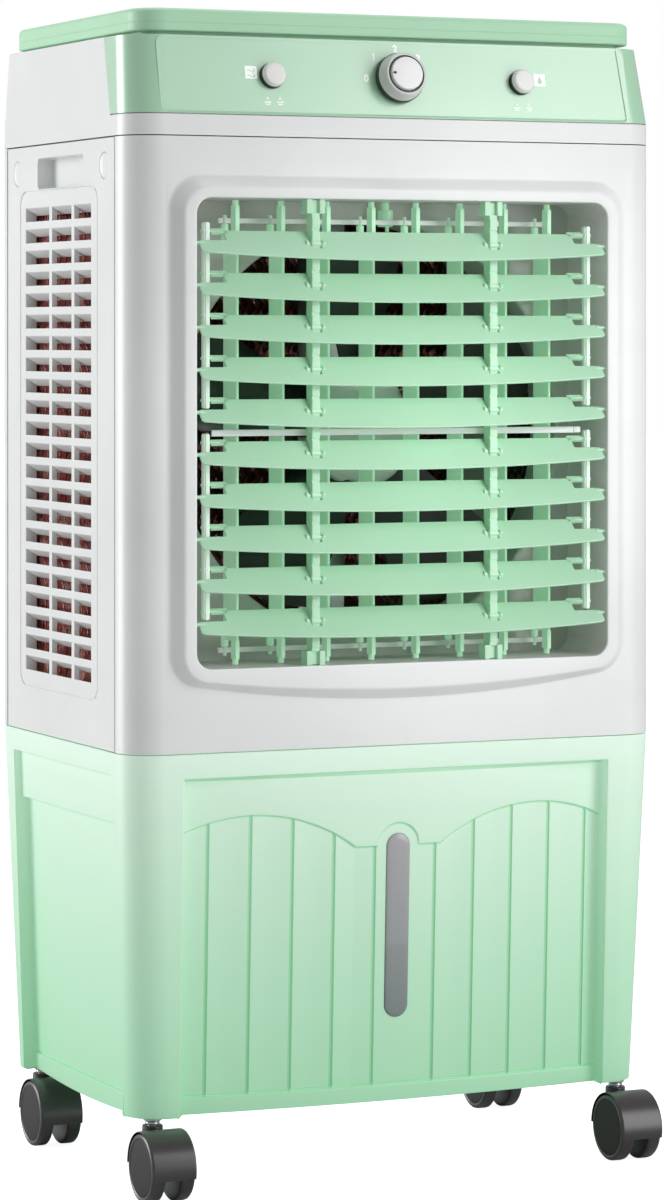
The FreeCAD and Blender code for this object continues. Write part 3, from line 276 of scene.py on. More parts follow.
def wet_paper():
    """Dyed cellulose, lit on its outer side, with painted shade, a dark brown, on the fan's side."""
    finish = Finish("pad_paper")
    patches = finish.ramp(finish.noise(60.0, 6.0), ((0.3, srgb(168, 82, 74)), (0.52, srgb(206, 122, 112)),
                                                    (0.68, srgb(246, 204, 196))))
    # Painted shade: the dark brown of the pad's side towards the fan.
    pad_painted_shade = finish.ramp(finish.noise(60.0, 6.0), ((0.3, srgb(20, 9, 8)), (0.7, srgb(54, 27, 22))))
    at_side = finish.share(finish.maths("ABSOLUTE", finish.along("X")), *LIT_SIDE)
    at_rear = finish.share(finish.along("Y"), *LIT_REAR)
    mix = finish.node("ShaderNodeMix", data_type="RGBA")
    finish.link(finish.maths("MAXIMUM", at_side, at_rear), mix.inputs["Factor"])
    finish.link(pad_painted_shade, mix.inputs[6])
    finish.link(patches, mix.inputs[7])
    finish.colour(mix.outputs[2])
    finish.bump(finish.noise(700.0, 4.0, (1, 1, 0.2)), 0.5, 0.0006)
    finish.skin(Roughness=0.42, Coat_Weight=0.35)
    return finish.material


pad_paper = wet_paper()
print("paper finish:", pad_paper.name)

# %% [markdown]
# The level window is smoky, and one can just tell the water behind it from the air: a ramp on the height
# again, with two stops close together where the water ends. The steel pins are turned, which leaves fine
# rings round them; noise that is squeezed along the height gives such rings.

# %% Window, metal and pipe finishes
def smoky_strip():
    """Level window: darker water below, paler air above, with a soft line between them."""
    finish = Finish("smoke_window")
    low, high = span("level_window")
    stops = ((0.0, srgb(128, 137, 138)), (0.38, srgb(148, 155, 156)), (0.42, srgb(158, 163, 164)),
             (1.0, srgb(178, 176, 180)))
    finish.colour(finish.ramp(finish.share(finish.along("Z"), low.z, high.z), stops))
    finish.skin(Roughness=0.22, Coat_Weight=0.5)
    return finish.material


def bright_metal(name, colour, roughness, streak):
    finish = Finish(name)
    finish.skin(Metallic=1.0, Roughness=roughness)
    finish.colour(finish.ramp(finish.noise(300.0, 3.0, streak), ((0.3, darker(colour, 0.8)), (0.7, colour))))
    finish.bump(finish.noise(900.0, 2.0, streak), 0.15, 0.0001)
    return finish.material


zinc_steel = bright_metal("zinc_steel", srgb(196, 198, 200), 0.28, (1, 1, 12))
motor_enamel = moulded("motor_enamel", srgb(52, 53, 56), roughness=0.4)
smoke_window = smoky_strip()
pipe_plastic = moulded("pipe_plastic", srgb(208, 214, 214), roughness=0.3, coat=0.4)
print("all finishes:", len(bpy.data.materials))

# %% [markdown]
# ## Parts that keep their working shape
# Pieces hidden inside, and pieces whose shape is already right, keep the frame's own solid. They only need
# the finish of the real piece. Each solid names a finish slot in the frame's record, so one table dresses
# them all.

# %% Dress the solids that stay
finish_of_slot = {"white_abs": white_abs, "mint_abs": mint_abs, "mint_tank": mint_tank, "grey_abs": grey_abs,
                  "smoke_window": smoke_window, "black_nylon": black_nylon, "zinc_steel": zinc_steel,
                  "pad_paper": pad_paper, "motor_steel": motor_enamel, "pipe_plastic": pipe_plastic,
                  "pump_plastic": pump_black}
for part in frame["record"]["subparts"]:
    solid = nodes[part["node"]].data
    solid.materials.clear()
    solid.materials.append(finish_of_slot[part["material_slot"]])

# %% [markdown]
# ## Shells
# The case is made of thin shells with rounded openings in them. They are built here from *rings*: closed
# outlines with the same number of points, joined one to the next like the hoops of a barrel. A flat wall
# with an opening is the space between its border and the first ring. This gives cleaner edges than a
# boolean cut.

# %% Outline helpers
def rectangle(u0, u1, v0, v1):
    return ((u0, v0), (u1, v0), (u1, v1), (u0, v1))


def circle(u, v, radius, steps):
    return [(u + radius * math.cos(a), v + radius * math.sin(a))
            for a in (2 * math.pi * i / steps for i in range(steps))]


def arc(middle, radius, start, end, steps=12):
    return [(middle[0] + radius * math.cos(math.radians(start + (end - start) * i / steps)),
             middle[1] + radius * math.sin(math.radians(start + (end - start) * i / steps)))
            for i in range(steps + 1)]


def rounded_outline(u0, u1, v0, v1, radii, sag=0.0, steps=10, spans=24):
    """Rectangle outline as (u, v) points; radii go low-low, high-low, high-high, low-high.
    The low edge may sag by `sag` in its middle."""
    low_low, high_low, high_high, low_high = radii
    points = arc((u0 + low_low, v0 + low_low), low_low, 180.0, 270.0, steps)
    left, right = u0 + low_low, u1 - high_low
    for t in (i / spans for i in range(1, spans)):
        points.append((left + (right - left) * t, v0 - sag * 4 * t * (1 - t)))
    points += arc((u1 - high_low, v0 + high_low), high_low, 270.0, 360.0, steps)
    points += arc((u1 - high_high, v1 - high_high), high_high, 0, 90.0, steps)
    left, right = u0 + low_high, u1 - high_high
    points += [(right + (left - right) * i / spans, v1) for i in range(1, spans)]
    return points + arc((u0 + low_high, v1 - low_high), low_high, 90.0, 180.0, steps)

# %% [markdown]
# A shell starts as bare points and faces in a bmesh, which is Blender's way to build a mesh by hand. Turned
# parts use the same rings: a lathe profile, turned about its axis, is a row of hoops.

# %% Shell
NEARLY_ZERO = 0.00001


class Shell:
    """A mesh that is grown ring by ring, then turned into an object."""

    def __init__(self):
        self.mesh = bmesh.new()

    def ring(self, points):
        return [self.mesh.verts.new(p) for p in points]

    def bridge(self, one, other, closed=True, material=0):
        count = len(one)
        for i in range(count if closed else count - 1):
            j = (i + 1) % count
            face = self.mesh.faces.new((one[i], one[j], other[j], other[i]))
            face.material_index = material

    def rings(self, outlines, closed=True, material=0):
        """Joins a list of outlines in order and returns the first and last ring."""
        made = [self.ring(points) for points in outlines]
        for one, other in zip(made, made[1:]):
            self.bridge(one, other, closed, material)
        return made[0], made[-1]

    def cap(self, ring, material=0):
        self.mesh.faces.new(ring).material_index = material

    def fill_between(self, border, holes=()):
        """Flat wall from a border ring to the rings inside it."""
        edges = []
        for ring in [border, *holes]:
            for pair in zip(ring, ring[1:] + ring[:1]):
                edges.append(self.mesh.edges.get(pair) or self.mesh.edges.new(pair))
        bmesh.ops.triangle_fill(self.mesh, use_beauty=True, use_dissolve=False, edges=edges)

    def add(self, mesh, matrix=None):
        """Takes in a plain mesh, moved by a matrix if one is given."""
        if matrix is not None:
            mesh.transform(matrix)
        self.mesh.from_mesh(mesh)
        return self

    def box(self, low, high):
        made = bmesh.ops.create_cube(self.mesh, size=1.0)
        size, middle = Vector(high) - Vector(low), (Vector(high) + Vector(low)) / 2
        for vert in made["verts"]:
            vert.co = Vector(c * s for c, s in zip(vert.co, size)) + middle

    def turned(self, profile, origin, axis, steps=48, material=0):
        """Lathe: profile of (distance along the axis, radius) turned about an axis through origin."""
        axis = Vector(axis).normalized()
        side = axis.orthogonal().normalized()
        other = axis.cross(side)
        outs = [side * math.cos(angle) + other * math.sin(angle)
                for angle in (math.radians(360.0 * i / steps) for i in range(steps))]
        lines = [self.ring([Vector(origin) + axis * a + out * r for out in outs]) for a, r in profile]
        for one, two in zip(lines, lines[1:]):
            self.bridge(one, two, material=material)

    def bare_mesh(self, name, outward=True):
        """The plain mesh, with its faces pointing outwards."""
        if outward:
            bmesh.ops.recalc_face_normals(self.mesh, faces=self.mesh.faces)
        data = bpy.data.meshes.new(name)
        self.mesh.to_mesh(data)
        self.mesh.free()
        return data

    def finish(self, name, materials, thickness=0.0, bevel=0.0, smooth=40.0, weld=0.00002):
        """Object with outward faces, optional wall thickness and softened edges, as one plain mesh."""
        if weld:
            bmesh.ops.remove_doubles(self.mesh, verts=self.mesh.verts, dist=weld)
        return plain_piece(name, self.bare_mesh(name), materials, thickness, bevel, smooth)

# %% [markdown]
# Blender's own modifiers finish a piece: Solidify gives a skin its wall, Bevel softens edges so that they
# catch the light, and Weighted Normal keeps big faces flat beside small round ones. Their result is kept as
# a plain mesh. The piece is then attached to what it moves with, and the working parts that it stands for
# are hidden.

# %% Finishing a piece
def plain_piece(name, data, materials, thickness=0.0, bevel=0.0, smooth=40.0):
    """Piece with its wall and soft edges applied; faces that meet within `smooth` degrees blend."""
    piece = bpy.data.objects.new(name, data)
    scene.collection.objects.link(piece)
    for material in materials if isinstance(materials, list) else [materials]:
        piece.data.materials.append(material)
    if thickness:
        wall = piece.modifiers.new("wall", "SOLIDIFY")
        wall.thickness, wall.offset = thickness, -1.0
    if bevel:
        soft = piece.modifiers.new("soft_edges", "BEVEL")
        soft.width, soft.segments, soft.limit_method = bevel, 2, "ANGLE"
        soft.angle_limit = math.radians(35.0)
        soft.miter_outer = "MITER_ARC"
    if thickness or bevel:
        settle(piece)
    piece.data.polygons.foreach_set("use_smooth", [True] * len(piece.data.polygons))
    piece.data.set_sharp_from_angle(angle=math.radians(smooth))
    flat = piece.modifiers.new("flat_walls", "WEIGHTED_NORMAL")
    flat.keep_sharp = True
    settle(piece)
    return piece


def evaluated_mesh(piece):
    return bpy.data.meshes.new_from_object(piece.evaluated_get(bpy.context.evaluated_depsgraph_get()))


def settle(piece):
    """Keeps what the modifiers made as the piece's own mesh and removes them."""
    shaped = evaluated_mesh(piece)
    piece.modifiers.clear()
    old, piece.data = piece.data, shaped
    bpy.data.meshes.remove(old)
    shaped.name = piece.name


def place(piece, body, slot, *stands_for):
    """Attaches a piece to the body it moves with and hides the parts it stands for; `slot` is not used."""
    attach(piece, body)
    if stands_for:
        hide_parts(*stands_for)
    print(f"{piece.name}: {len(piece.data.polygons)} faces")

# %% [markdown]
# ## Front frame
# One moulding makes the front wall, its two rounded corners, the raised frame round the air outlet and the
# short tunnel behind it. The frame's lower edge bows down slightly. In section the raised frame climbs a
# slope 10 mm wide and as high, runs flat for about 9 mm and turns back into the tunnel, with its edges
# rolled over. The tunnel's wall has a material index of its own, for its painted warm tint.

# %% Front frame
FRONT_RADIUS, REAR_RADIUS, WALL, SEAM_GAP = 0.028, 0.009, 0.0025, 0.0004
LIP_Y, TUNNEL_BACK = span("front_frame")[0].y, span("fan_shroud")[0].y
OPEN_HALF, OPEN_LOW, OPEN_HIGH, OPEN_RADIUS = 0.174, 0.4005, 0.756, 0.012
SURROUND_OUT, SURROUND_TOP, SURROUND_LOW, SURROUND_SAG, SURROUND_RADIUS = 0.1925, 0.773, 0.386, 0.0135, 0.025
SLOPE = 0.01
CASE_LOW, CASE_HIGH = SEAM_Z + SEAM_GAP, BOX_Z - SEAM_GAP


def outlet_outline(inset, y):
    """Ring round the outlet: inset 0 is the foot of the raised frame."""
    flat = rounded_outline(-SURROUND_OUT + inset, SURROUND_OUT - inset, SURROUND_LOW + inset * 0.5,
                           SURROUND_TOP - inset, (SURROUND_RADIUS - inset * 0.5,) * 4,
                           sag=SURROUND_SAG - inset * 0.45)
    return [(u, y, v) for u, v in flat]


def tunnel_outline(inset, y):
    flat = rounded_outline(-OPEN_HALF + inset, OPEN_HALF - inset, OPEN_LOW + inset, OPEN_HIGH - inset,
                           (OPEN_RADIUS - inset,) * 4)
    return [(u, y, v) for u, v in flat]


def front_frame_piece():
    shell = Shell()
    climb = LIP_Y - FRONT_Y
    section = ((-0.0015, 0), (0.0002, 0.0004), (0.0014, 0.0016), (0.0072, 0.0084), (0.0084, 0.0095),
               (SLOPE, SLOPE))
    outlines = [outlet_outline(inset, FRONT_Y + climb * rise / SLOPE) for inset, rise in section]
    outlines += [tunnel_outline(inset, LIP_Y + depth) for inset, depth in
                 ((-0.0016, 0), (-0.0005, 0.0004), (0, 0.0016))]
    foot, mouth = shell.rings(outlines)
    shell.bridge(mouth, shell.ring(tunnel_outline(0, TUNNEL_BACK - 0.0002)), material=1)
    flat = HALF_W - FRONT_RADIUS
    border = shell.ring([(x, FRONT_Y, z) for x, z in rectangle(-flat, flat, CASE_LOW, CASE_HIGH)])
    shell.fill_between(border, [foot])
    corner = [(HALF_W, span("side_panel_right")[0].y - SEAM_GAP)]
    corner += arc((flat, FRONT_Y + FRONT_RADIUS), FRONT_RADIUS, 0, -90.0, 10)
    for side in (corner, [(-x, y) for x, y in reversed(corner)]):
        shell.rings([[(x, y, z) for x, y in side] for z in (CASE_LOW, CASE_HIGH)], closed=False)
    return shell.finish("front_shell", [white_abs, tunnel_white], thickness=WALL, smooth=32.0)


place(front_frame_piece(), "cabinet", "white_abs", "front_frame")

# %% [markdown]
# ## Lid
# The lid is a crowned tray, thick at the rim and slightly domed, with a fine groove low in its edge where a
# finger lifts it. Rings of one plan outline, each a little further in and higher up, give the rolled rim;
# the last rings shrink towards the middle and climb along a parabola, which is the crown.

# %% Lid
LID_EDGE_Z, LID_LIFT, LID_FRONT_RADIUS, RIM_INSET = 0.9, 0.0025, 0.024, 0.0036
CROWN_SHARES = (0.97, 0.9, 0.78, 0.6, 0.4, 0.2)


def lid_outline(inset, z):
    """Plan outline with large front corners and small rear ones, pulled in by `inset`."""
    radii = [max(r - inset, 0.001) for r in (LID_FRONT_RADIUS, LID_FRONT_RADIUS, REAR_RADIUS, REAR_RADIUS)]
    flat = rounded_outline(-lid_high.x + inset, lid_high.x - inset, lid_low.y + inset, lid_high.y - inset,
                           radii, steps=12)
    return [(x, y, z) for x, y in flat]


def lid_piece():
    shell = Shell()
    base, crown = lid_low.z + LID_LIFT, lid_high.z
    section = ((0.012, 0), (0.0022, 0), (0.0006, 0.0005), (0, 0.0014), (0, 0.0062), (0.0002, 0.0064),
               (0.0004, 0.0066), (0.0004, 0.0069), (0.0002, 0.0071), (0, 0.0073), (0, 0.0135),
               (0.0004, 0.0152), (0.0016, 0.0167), (RIM_INSET, LID_EDGE_Z - base))
    outlines = [lid_outline(inset, base + rise) for inset, rise in section]
    middle_y = (lid_low.y + lid_high.y) / 2
    for share in CROWN_SHARES:
        height = LID_EDGE_Z + (crown - LID_EDGE_Z) * (1 - share ** 2)
        outlines.append([(x * share, middle_y + (y - middle_y) * share, height)
                         for x, y, _ in lid_outline(RIM_INSET, LID_EDGE_Z)])
    _, last = shell.rings(outlines)
    shell.cap(last)
    shell.rings([lid_outline(0.009, z) for z in (lid_low.z, base + 0.0002)])
    return shell.finish("lid", mint_lid, smooth=50.0)


place(lid_piece(), "cabinet", "mint_abs", "top_cover")

# %% [markdown]
# ## Control housing and fascia
# The white housing and the mint fascia share one surface: upright for the first 16 mm, then leaning back.
# One function gives a point on that surface from its height and its distance along the plan outline, so the
# two parts meet exactly at the fascia's slanting side edge.

# %% Housing
FASCIA_Z, DECK_Z, CONTROL_Z = 0.8195, 0.88, 0.85
TOP_HALF_W, LEAN, FASCIA_T, FIT = 0.221, 0.0135, 0.002, 0.0001
TOP_REAR = BACK_Y - 0.0005
EDGE_LOW_Y, EDGE_HIGH_Y = MID_Y - 0.102, MID_Y - 0.078
DECK_SHRINK = 0.997


def leaned(z, low, high):
    """Value that stays at `low` up to the fascia and runs to `high` at the deck."""
    return low + (high - low) * max(0, (z - FASCIA_Z) / (DECK_Z - FASCIA_Z))


def fascia_path(z, depth=0.0):
    """Plan path of the fascia, left edge, round the front, right edge, `depth` behind its face."""
    half_w, front = leaned(z, HALF_W, TOP_HALF_W), leaned(z, FRONT_Y, FRONT_Y + LEAN)
    edge = leaned(z, EDGE_LOW_Y, EDGE_HIGH_Y)
    corner = arc((-half_w + FRONT_RADIUS, front + FRONT_RADIUS), FRONT_RADIUS - depth, 180, 270)
    left = [(-half_w + depth, edge)] + corner
    return left + [(-x, y) for x, y in reversed(left)]


def housing_path(z, depth):
    """Closed plan outline of the white housing, whose front part lies `depth` behind the fascia's face."""
    half_w, rear = leaned(z, HALF_W, TOP_HALF_W), leaned(z, BACK_Y, TOP_REAR)
    edge = leaned(z, EDGE_LOW_Y, EDGE_HIGH_Y)
    corner = arc((half_w - REAR_RADIUS, rear - REAR_RADIUS), REAR_RADIUS, 0, 90, 6)
    back = [(half_w, edge)] + corner
    return fascia_path(z, depth) + back + [(-x, y) for x, y in reversed(back)]


def housing_piece():
    shell = Shell()
    levels = ((BOX_Z + SEAM_GAP, 0), (FASCIA_Z - 0.0006, 0), (FASCIA_Z - 0.0002, 0.0004),
              (FASCIA_Z, FASCIA_T + FIT), (DECK_Z - 0.0006, FASCIA_T + FIT))
    _, top = shell.rings([[(x, y, z) for x, y in housing_path(z, depth)] for z, depth in levels])
    shrunk = shell.ring([(v.co.x * DECK_SHRINK, MID_Y + (v.co.y - MID_Y) * DECK_SHRINK, DECK_Z) for v in top])
    shell.bridge(top, shrunk)
    shell.cap(shrunk)
    return shell.finish("housing", white_abs, smooth=35.0)


place(housing_piece(), "cabinet", "white_abs", "control_box")

# %% [markdown]
# The fascia wraps the front corners. Its front carries a field sunk by half a millimetre, and in that field
# are three round holes, for the knob's shaft and the two buttons. All of it lies on a leaning plane, so
# `on_fascia` turns a place and a height into a point there, and `OUTWARD` is the way that the plane faces.

# %% Fascia
LEAN_ANGLE = math.atan2(LEAN, DECK_Z - FASCIA_Z)
OUTWARD = Vector((0, -math.cos(LEAN_ANGLE), math.sin(LEAN_ANGLE)))
UPWARD = Vector((0, math.sin(LEAN_ANGLE), math.cos(LEAN_ANGLE)))
BUTTON_X = sum(corner.x for corner in span("cooling_button")) / 2
FIELD_HALF, FIELD_LOW, FIELD_HIGH, FIELD_RADIUS, FIELD_DEPTH = 0.1993, 0.8205, 0.8785, 0.006, 0.0006
BUTTON_HOLE, SHAFT_HOLE = 0.0102, 0.006


def on_fascia(x, z, depth=0.0):
    return Vector((x, leaned(z, FRONT_Y, FRONT_Y + LEAN), z)) - OUTWARD * depth


def fascia_circle(x, radius, depth):
    middle = on_fascia(x, CONTROL_Z, depth)
    return [middle + Vector((u, 0, 0)) + UPWARD * v for u, v in circle(0, 0, radius, 40)]


def fascia_piece():
    shell = Shell()
    low, high = FASCIA_Z + 0.0005, DECK_Z - 0.0004
    half = len(fascia_path(low)) // 2
    for part in (slice(0, half), slice(half, None)):
        shell.rings([[(x, y, z) for x, y in fascia_path(z)[part]] for z in (low, high)], closed=False)
    border = shell.ring([on_fascia(side * (leaned(z, HALF_W, TOP_HALF_W) - FRONT_RADIUS), z)
                         for side, z in rectangle(-1, 1, low, high)])
    rims = []
    for inset, depth in ((0, 0), (0.0006, 0.0001), (0.0012, 0.0005), (0.0018, FIELD_DEPTH)):
        outline = rounded_outline(-FIELD_HALF + inset, FIELD_HALF - inset, FIELD_LOW + inset,
                                  FIELD_HIGH - inset, (FIELD_RADIUS - inset,) * 4)
        rims.append([on_fascia(u, v, depth) for u, v in outline])
    rim, floor = shell.rings(rims)
    shell.fill_between(border, [rim])
    holes = [shell.rings([fascia_circle(x, radius, depth) for depth in (FIELD_DEPTH, FASCIA_T)])[0]
             for x, radius in ((-BUTTON_X, BUTTON_HOLE), (0, SHAFT_HOLE), (BUTTON_X, BUTTON_HOLE))]
    shell.fill_between(floor, holes)
    return shell.finish("fascia", mint_gloss, smooth=35.0)


place(fascia_piece(), "cabinet", "mint_abs", "control_panel")

# %% [markdown]
# ## Knob and buttons
# All three are turned parts, so each is a lathe profile: pairs of distance along the axis and radius. The
# knob is a satin cone on a skirt painted dark as its shade, with a white cap let into its face; the line
# round the cap is a real groove, painted dark as its shade. A small dark wedge on the cap's left is the
# pointer.

# %% Knob
KNOB_STEPS, BUTTON_STEPS = 72, 56


def knob_piece():
    shell = Shell()
    foot = on_fascia(0, CONTROL_Z)
    skirt = [(0.0006, 0.006), (0.0006, 0.019), (0.0012, 0.0196), (0.0056, 0.0195), (0.0062, 0.019)]
    side = [(0.0062, 0.019), (0.0068, 0.0188), (0.014, 0.0175), (0.0154, 0.017), (0.016, 0.0164),
            (0.0162, 0.0156), (0.016, 0.0149)]
    groove = [(0.016, 0.0149), (0.0146, 0.0148), (0.0146, 0.0132)]
    cap = [(0.0146, 0.0132), (0.0176, 0.0131), (0.0184, 0.0127), (0.0186, 0.012), (0.0188, 0.0065),
           (0.0188, NEARLY_ZERO)]
    for profile, material in ((skirt, 2), (side, 0), (groove, 2), (cap, 1)):
        shell.turned(profile, foot, OUTWARD, KNOB_STEPS, material)
    wedge = [(-0.0127, 0), (-0.0113, 0.0011), (-0.0097, 0.0007), (-0.0097, -0.0007), (-0.0113, -0.0011)]
    rings = [[foot + OUTWARD * h + Vector((x, 0, 0)) + UPWARD * z for x, z in wedge]
             for h in (0.018, 0.019)]
    _, top = shell.rings(rings, material=2)
    shell.cap(top, material=2)
    return shell.finish("knob", [knob_satin, knob_cap_white, groove_black], smooth=45.0)


place(knob_piece(), "speed_knob", "grey_abs", "speed_knob")

# %% [markdown]
# A button is a barrel, painted dark as the shade round it, that sinks into the fascia, under a pale cap with
# a rounded rim. The barrel starts behind the fascia's face, so that no gap opens when the button is out.

# %% Buttons
def button_piece(name, x):
    shell = Shell()
    foot = on_fascia(x, CONTROL_Z)
    shell.turned([(-0.004, 0.0096), (0.004, 0.0096)], foot, OUTWARD, BUTTON_STEPS, material=1)
    cap = [(0.004, 0.0096), (0.0044, 0.0092), (0.0062, 0.009), (0.007, 0.0086), (0.0075, 0.0078),
           (0.0076, 0.007), (0.0076, NEARLY_ZERO)]
    shell.turned(cap, foot, OUTWARD, BUTTON_STEPS)
    return shell.finish(name, [button_grey, groove_black], smooth=40.0)


place(button_piece("button_left", -BUTTON_X), "swing_button", "grey_abs", "swing_button")
place(button_piece("button_right", BUTTON_X), "cooling_button", "grey_abs", "cooling_button")

# %% [markdown]
# ## Printed marks
# The controls need marks: numbers round the dial, small wedges and dashes under each button, and a drawing
# beside it, curling air for the swing and a drop for the wet pads. They are thin white prints on the field,
# plain signs of this lesson's own. Each is a flat polygon on the leaning plane.

# %% Printing helpers
# Painted light: the prints glow faintly, which keeps them bright white.
print_white = moulded("print_white", srgb(246, 249, 247), roughness=0.5, coat=0.0, glow=0.3)


def printed(name, polygons, ink=None, thick=0.0002):
    """Flat prints on the fascia; each polygon is a list of (x, height above the control row)."""
    shell = Shell()
    lift = FIELD_DEPTH - thick
    for polygon in polygons:
        shell.cap(shell.ring([on_fascia(x, CONTROL_Z + z * math.cos(LEAN_ANGLE), lift) for x, z in polygon]))
    bmesh.ops.recalc_face_normals(shell.mesh, faces=shell.mesh.faces)
    for face in shell.mesh.faces:
        if face.normal.dot(OUTWARD) < 0:
            face.normal_flip()
    piece = plain_piece(name, shell.bare_mesh(name, outward=False), ink or print_white)
    place(piece, "cabinet", "mint_abs" if ink else "white_abs")


def stroke(points, width):
    """Polygons of a pen stroke through points."""
    quads = []
    for (x0, z0), (x1, z1) in zip(points, points[1:]):
        length = math.hypot(x1 - x0, z1 - z0)
        nx, nz = -(z1 - z0) / length * width / 2, (x1 - x0) / length * width / 2
        quads.append([(x0 + nx, z0 + nz), (x0 - nx, z0 - nz), (x1 - nx, z1 - nz), (x1 + nx, z1 + nz)])
    return quads

# %% [markdown]
# The swirl is two pen strokes along a sine that end in a hook; the drop is most of a circle that runs up to
# a point.

# %% Signs beside the buttons
def swirl(x, z, size):
    """Two curling air lines."""
    lines = []
    for shift in (-0.3, 0.3):
        points = [(x - size / 2 + size * 0.75 * t, z + size * shift + 0.12 * size * math.sin(5 * t))
                  for t in (i / 8 for i in range(9))]
        curl = [(points[-1][0] + 0.17 * size * math.sin(a), points[-1][1] + 0.17 * size * (1 - math.cos(a)))
                for a in (math.radians(30 * i) for i in range(1, 8))]
        lines += stroke(points + curl, size * 0.11)
    return lines


def drop(x, z, size):
    round_part = [(x + 0.33 * size * math.cos(a), z - 0.14 * size + 0.33 * size * math.sin(a))
                  for a in (math.radians(degrees) for degrees in range(-220, 41, 20))]
    return [round_part + [(x, z + 0.55 * size)]]


def ticks(x, z):
    """Two small wedges with two dashes under each: out and in positions of a push-lock button."""
    marks = []
    for middle in (x - 0.0052, x + 0.0052):
        marks.append([(middle - 0.0011, z), (middle + 0.0011, z), (middle, z + 0.0024)])
        for half, below, width in ((0.0026, 0.0022, 0.001), (0.0018, 0.004, 0.0008)):
            marks += stroke([(middle - half, z - below), (middle + half, z - below)], width)
    return marks


def plate(x, z, size):
    """White square that a sign is drawn on."""
    h = size / 2
    return [(x - h, z - h), (x + h, z - h), (x + h, z + h), (x - h, z + h)]


SIGN_X, TICKS_BELOW = BUTTON_X + 0.017, -0.0185
printed("sign_plates", [plate(side * SIGN_X, 0.0025, 0.0098) for side in (-1, 1)]
        + ticks(-BUTTON_X, TICKS_BELOW) + ticks(BUTTON_X, TICKS_BELOW))
printed("button_signs", swirl(-SIGN_X, 0.0015, 0.0068) + drop(SIGN_X, 0.0022, 0.0062), mint_abs, 0.0003)

# %% [markdown]
# The numbers are Blender's own text, made flat and turned into polygons, so that they are printed by the
# same helper as the signs. The pointer is at 0 when the knob is off.

# %% Numbers round the dial
def dial_numbers():
    """0 at the pointer, then 1, 2 and 3, each 45 degrees further round."""
    polygons = []
    for number in range(4):
        curve = bpy.data.curves.new("digit", "FONT")
        curve.body, curve.size, curve.align_x, curve.align_y = str(number), 0.0078, "CENTER", "CENTER"
        curve.offset = 0.00025
        holder = bpy.data.objects.new("digit", curve)
        flat = bpy.data.meshes.new_from_object(holder)
        angle = math.radians(180 - 45 * number)
        x, z = 0.0268 * math.cos(angle), 0.0243 * math.sin(angle)
        for face in flat.polygons:
            polygons.append([(x + flat.vertices[v].co.x, z + flat.vertices[v].co.y) for v in face.vertices])
        bpy.data.objects.remove(holder)
        bpy.data.curves.remove(curve)
    return polygons


printed("dial_numbers", dial_numbers())

# %% [markdown]
# ## Water tank
# The tank is one thin moulding that narrows towards the foot. Its front and sides carry sunk panels which
# are open at the foot; the front one is planked under two arches and a bump for the level window. The whole
# skin is one grid: columns run round the tank, rows run up it, and every point is just "how deep at this
# place". A fillet is a pair of rows or columns that differ by less than a millimetre.

# %% Tank sizes
HALF_D = BACK_Y - MID_Y
TAPER_W, TAPER_D = 0.0095, 0.0105
PANEL_HALF, PANEL_TOP, PANEL_BOW = 0.18, 0.317, 0.01
SIDE_FRONT_Y, SIDE_REAR_Y, SIDE_TOP, SIDE_STEP = MID_Y - 0.1035, MID_Y + 0.117, 0.318, 0.28
FOOT_Z = span("caster_stems")[1].z - 0.026
SKIRT_Z, FLAT_Z, ARCH_X, ARCH_Z, ARCH_R, BUMP_R = 0.0725, 0.2584, 0.12, 0.2865, 0.14, 0.0175
PLANK_DEPTH, UPPER_DEPTH, SIDE_DEPTH, SIDE_UPPER, SKIRT_OUT = 0.0135, 0.012, 0.0115, 0.006, 0.0015
SIDE_SAG, SAG_SHORT = 0.004, 0.004
TANK_WALL = 0.0012


def taper(z, at_top, loss):
    """Half size of the tank at a height: `at_top` at the rim, less by `loss` at the foot."""
    return at_top - loss * (SEAM_Z - z) / (SEAM_Z - FOOT_Z)


def bulge(x):
    """How far the bowed front panel stands forward at x, compared with its edges."""
    radius = (PANEL_HALF ** 2 + PANEL_BOW ** 2) / (2 * PANEL_BOW)
    return PANEL_BOW - radius + math.sqrt(radius ** 2 - x ** 2)


def arch_height(x):
    """Height of the twin-arched upper edge of the planks, with its bump over the level window."""
    x = abs(x)
    if x < BUMP_R:
        return FLAT_Z + math.sqrt(BUMP_R ** 2 - x ** 2)
    if abs(x - ARCH_X) >= ARCH_R:
        return FLAT_Z
    return max(FLAT_Z, ARCH_Z - ARCH_R + math.sqrt(ARCH_R ** 2 - (x - ARCH_X) ** 2))


def front_point(x, depth, z):
    return (x, MID_Y - taper(z, HALF_D, TAPER_D) + depth, z)


def back_point(x, z, depth):
    return (x, MID_Y + taper(z, HALF_D, TAPER_D) - depth, z)


def side_point(y, depth, z, side):
    return (side * (taper(z, HALF_W, TAPER_W) - depth), y, z)


print("tank foot at", round(FOOT_Z, 4), "rim at", round(SEAM_Z, 4))

# %% [markdown]
# A panel has twenty rows from foot to rim. Three numbers name those that matter later: the row where the
# planks start, the one where the arches cut them off, and the panel's upper edge.

# %% Tank rows and planks
FLOOR_ROW, ARCH_ROW, TOP_ROW = 7, 9, 13
FOLD, GROOVE_EXTRA, GROOVE_HALF, GROOVE_EDGE = 0.0009, 0.0013, 0.0009, 0.0016
ARCH_FOOT = ARCH_X - math.sqrt(ARCH_R ** 2 - (ARCH_R - ARCH_Z + FLAT_Z) ** 2)
LEFT_GROOVES = [-0.02 - 0.0341 * i for i in range(4, -1, -1)]
RIGHT_GROOVES = [0.0314 + 0.0336 * i for i in range(5)]
PLANK_EDGES = [-PANEL_HALF, *LEFT_GROOVES, *RIGHT_GROOVES, PANEL_HALF]


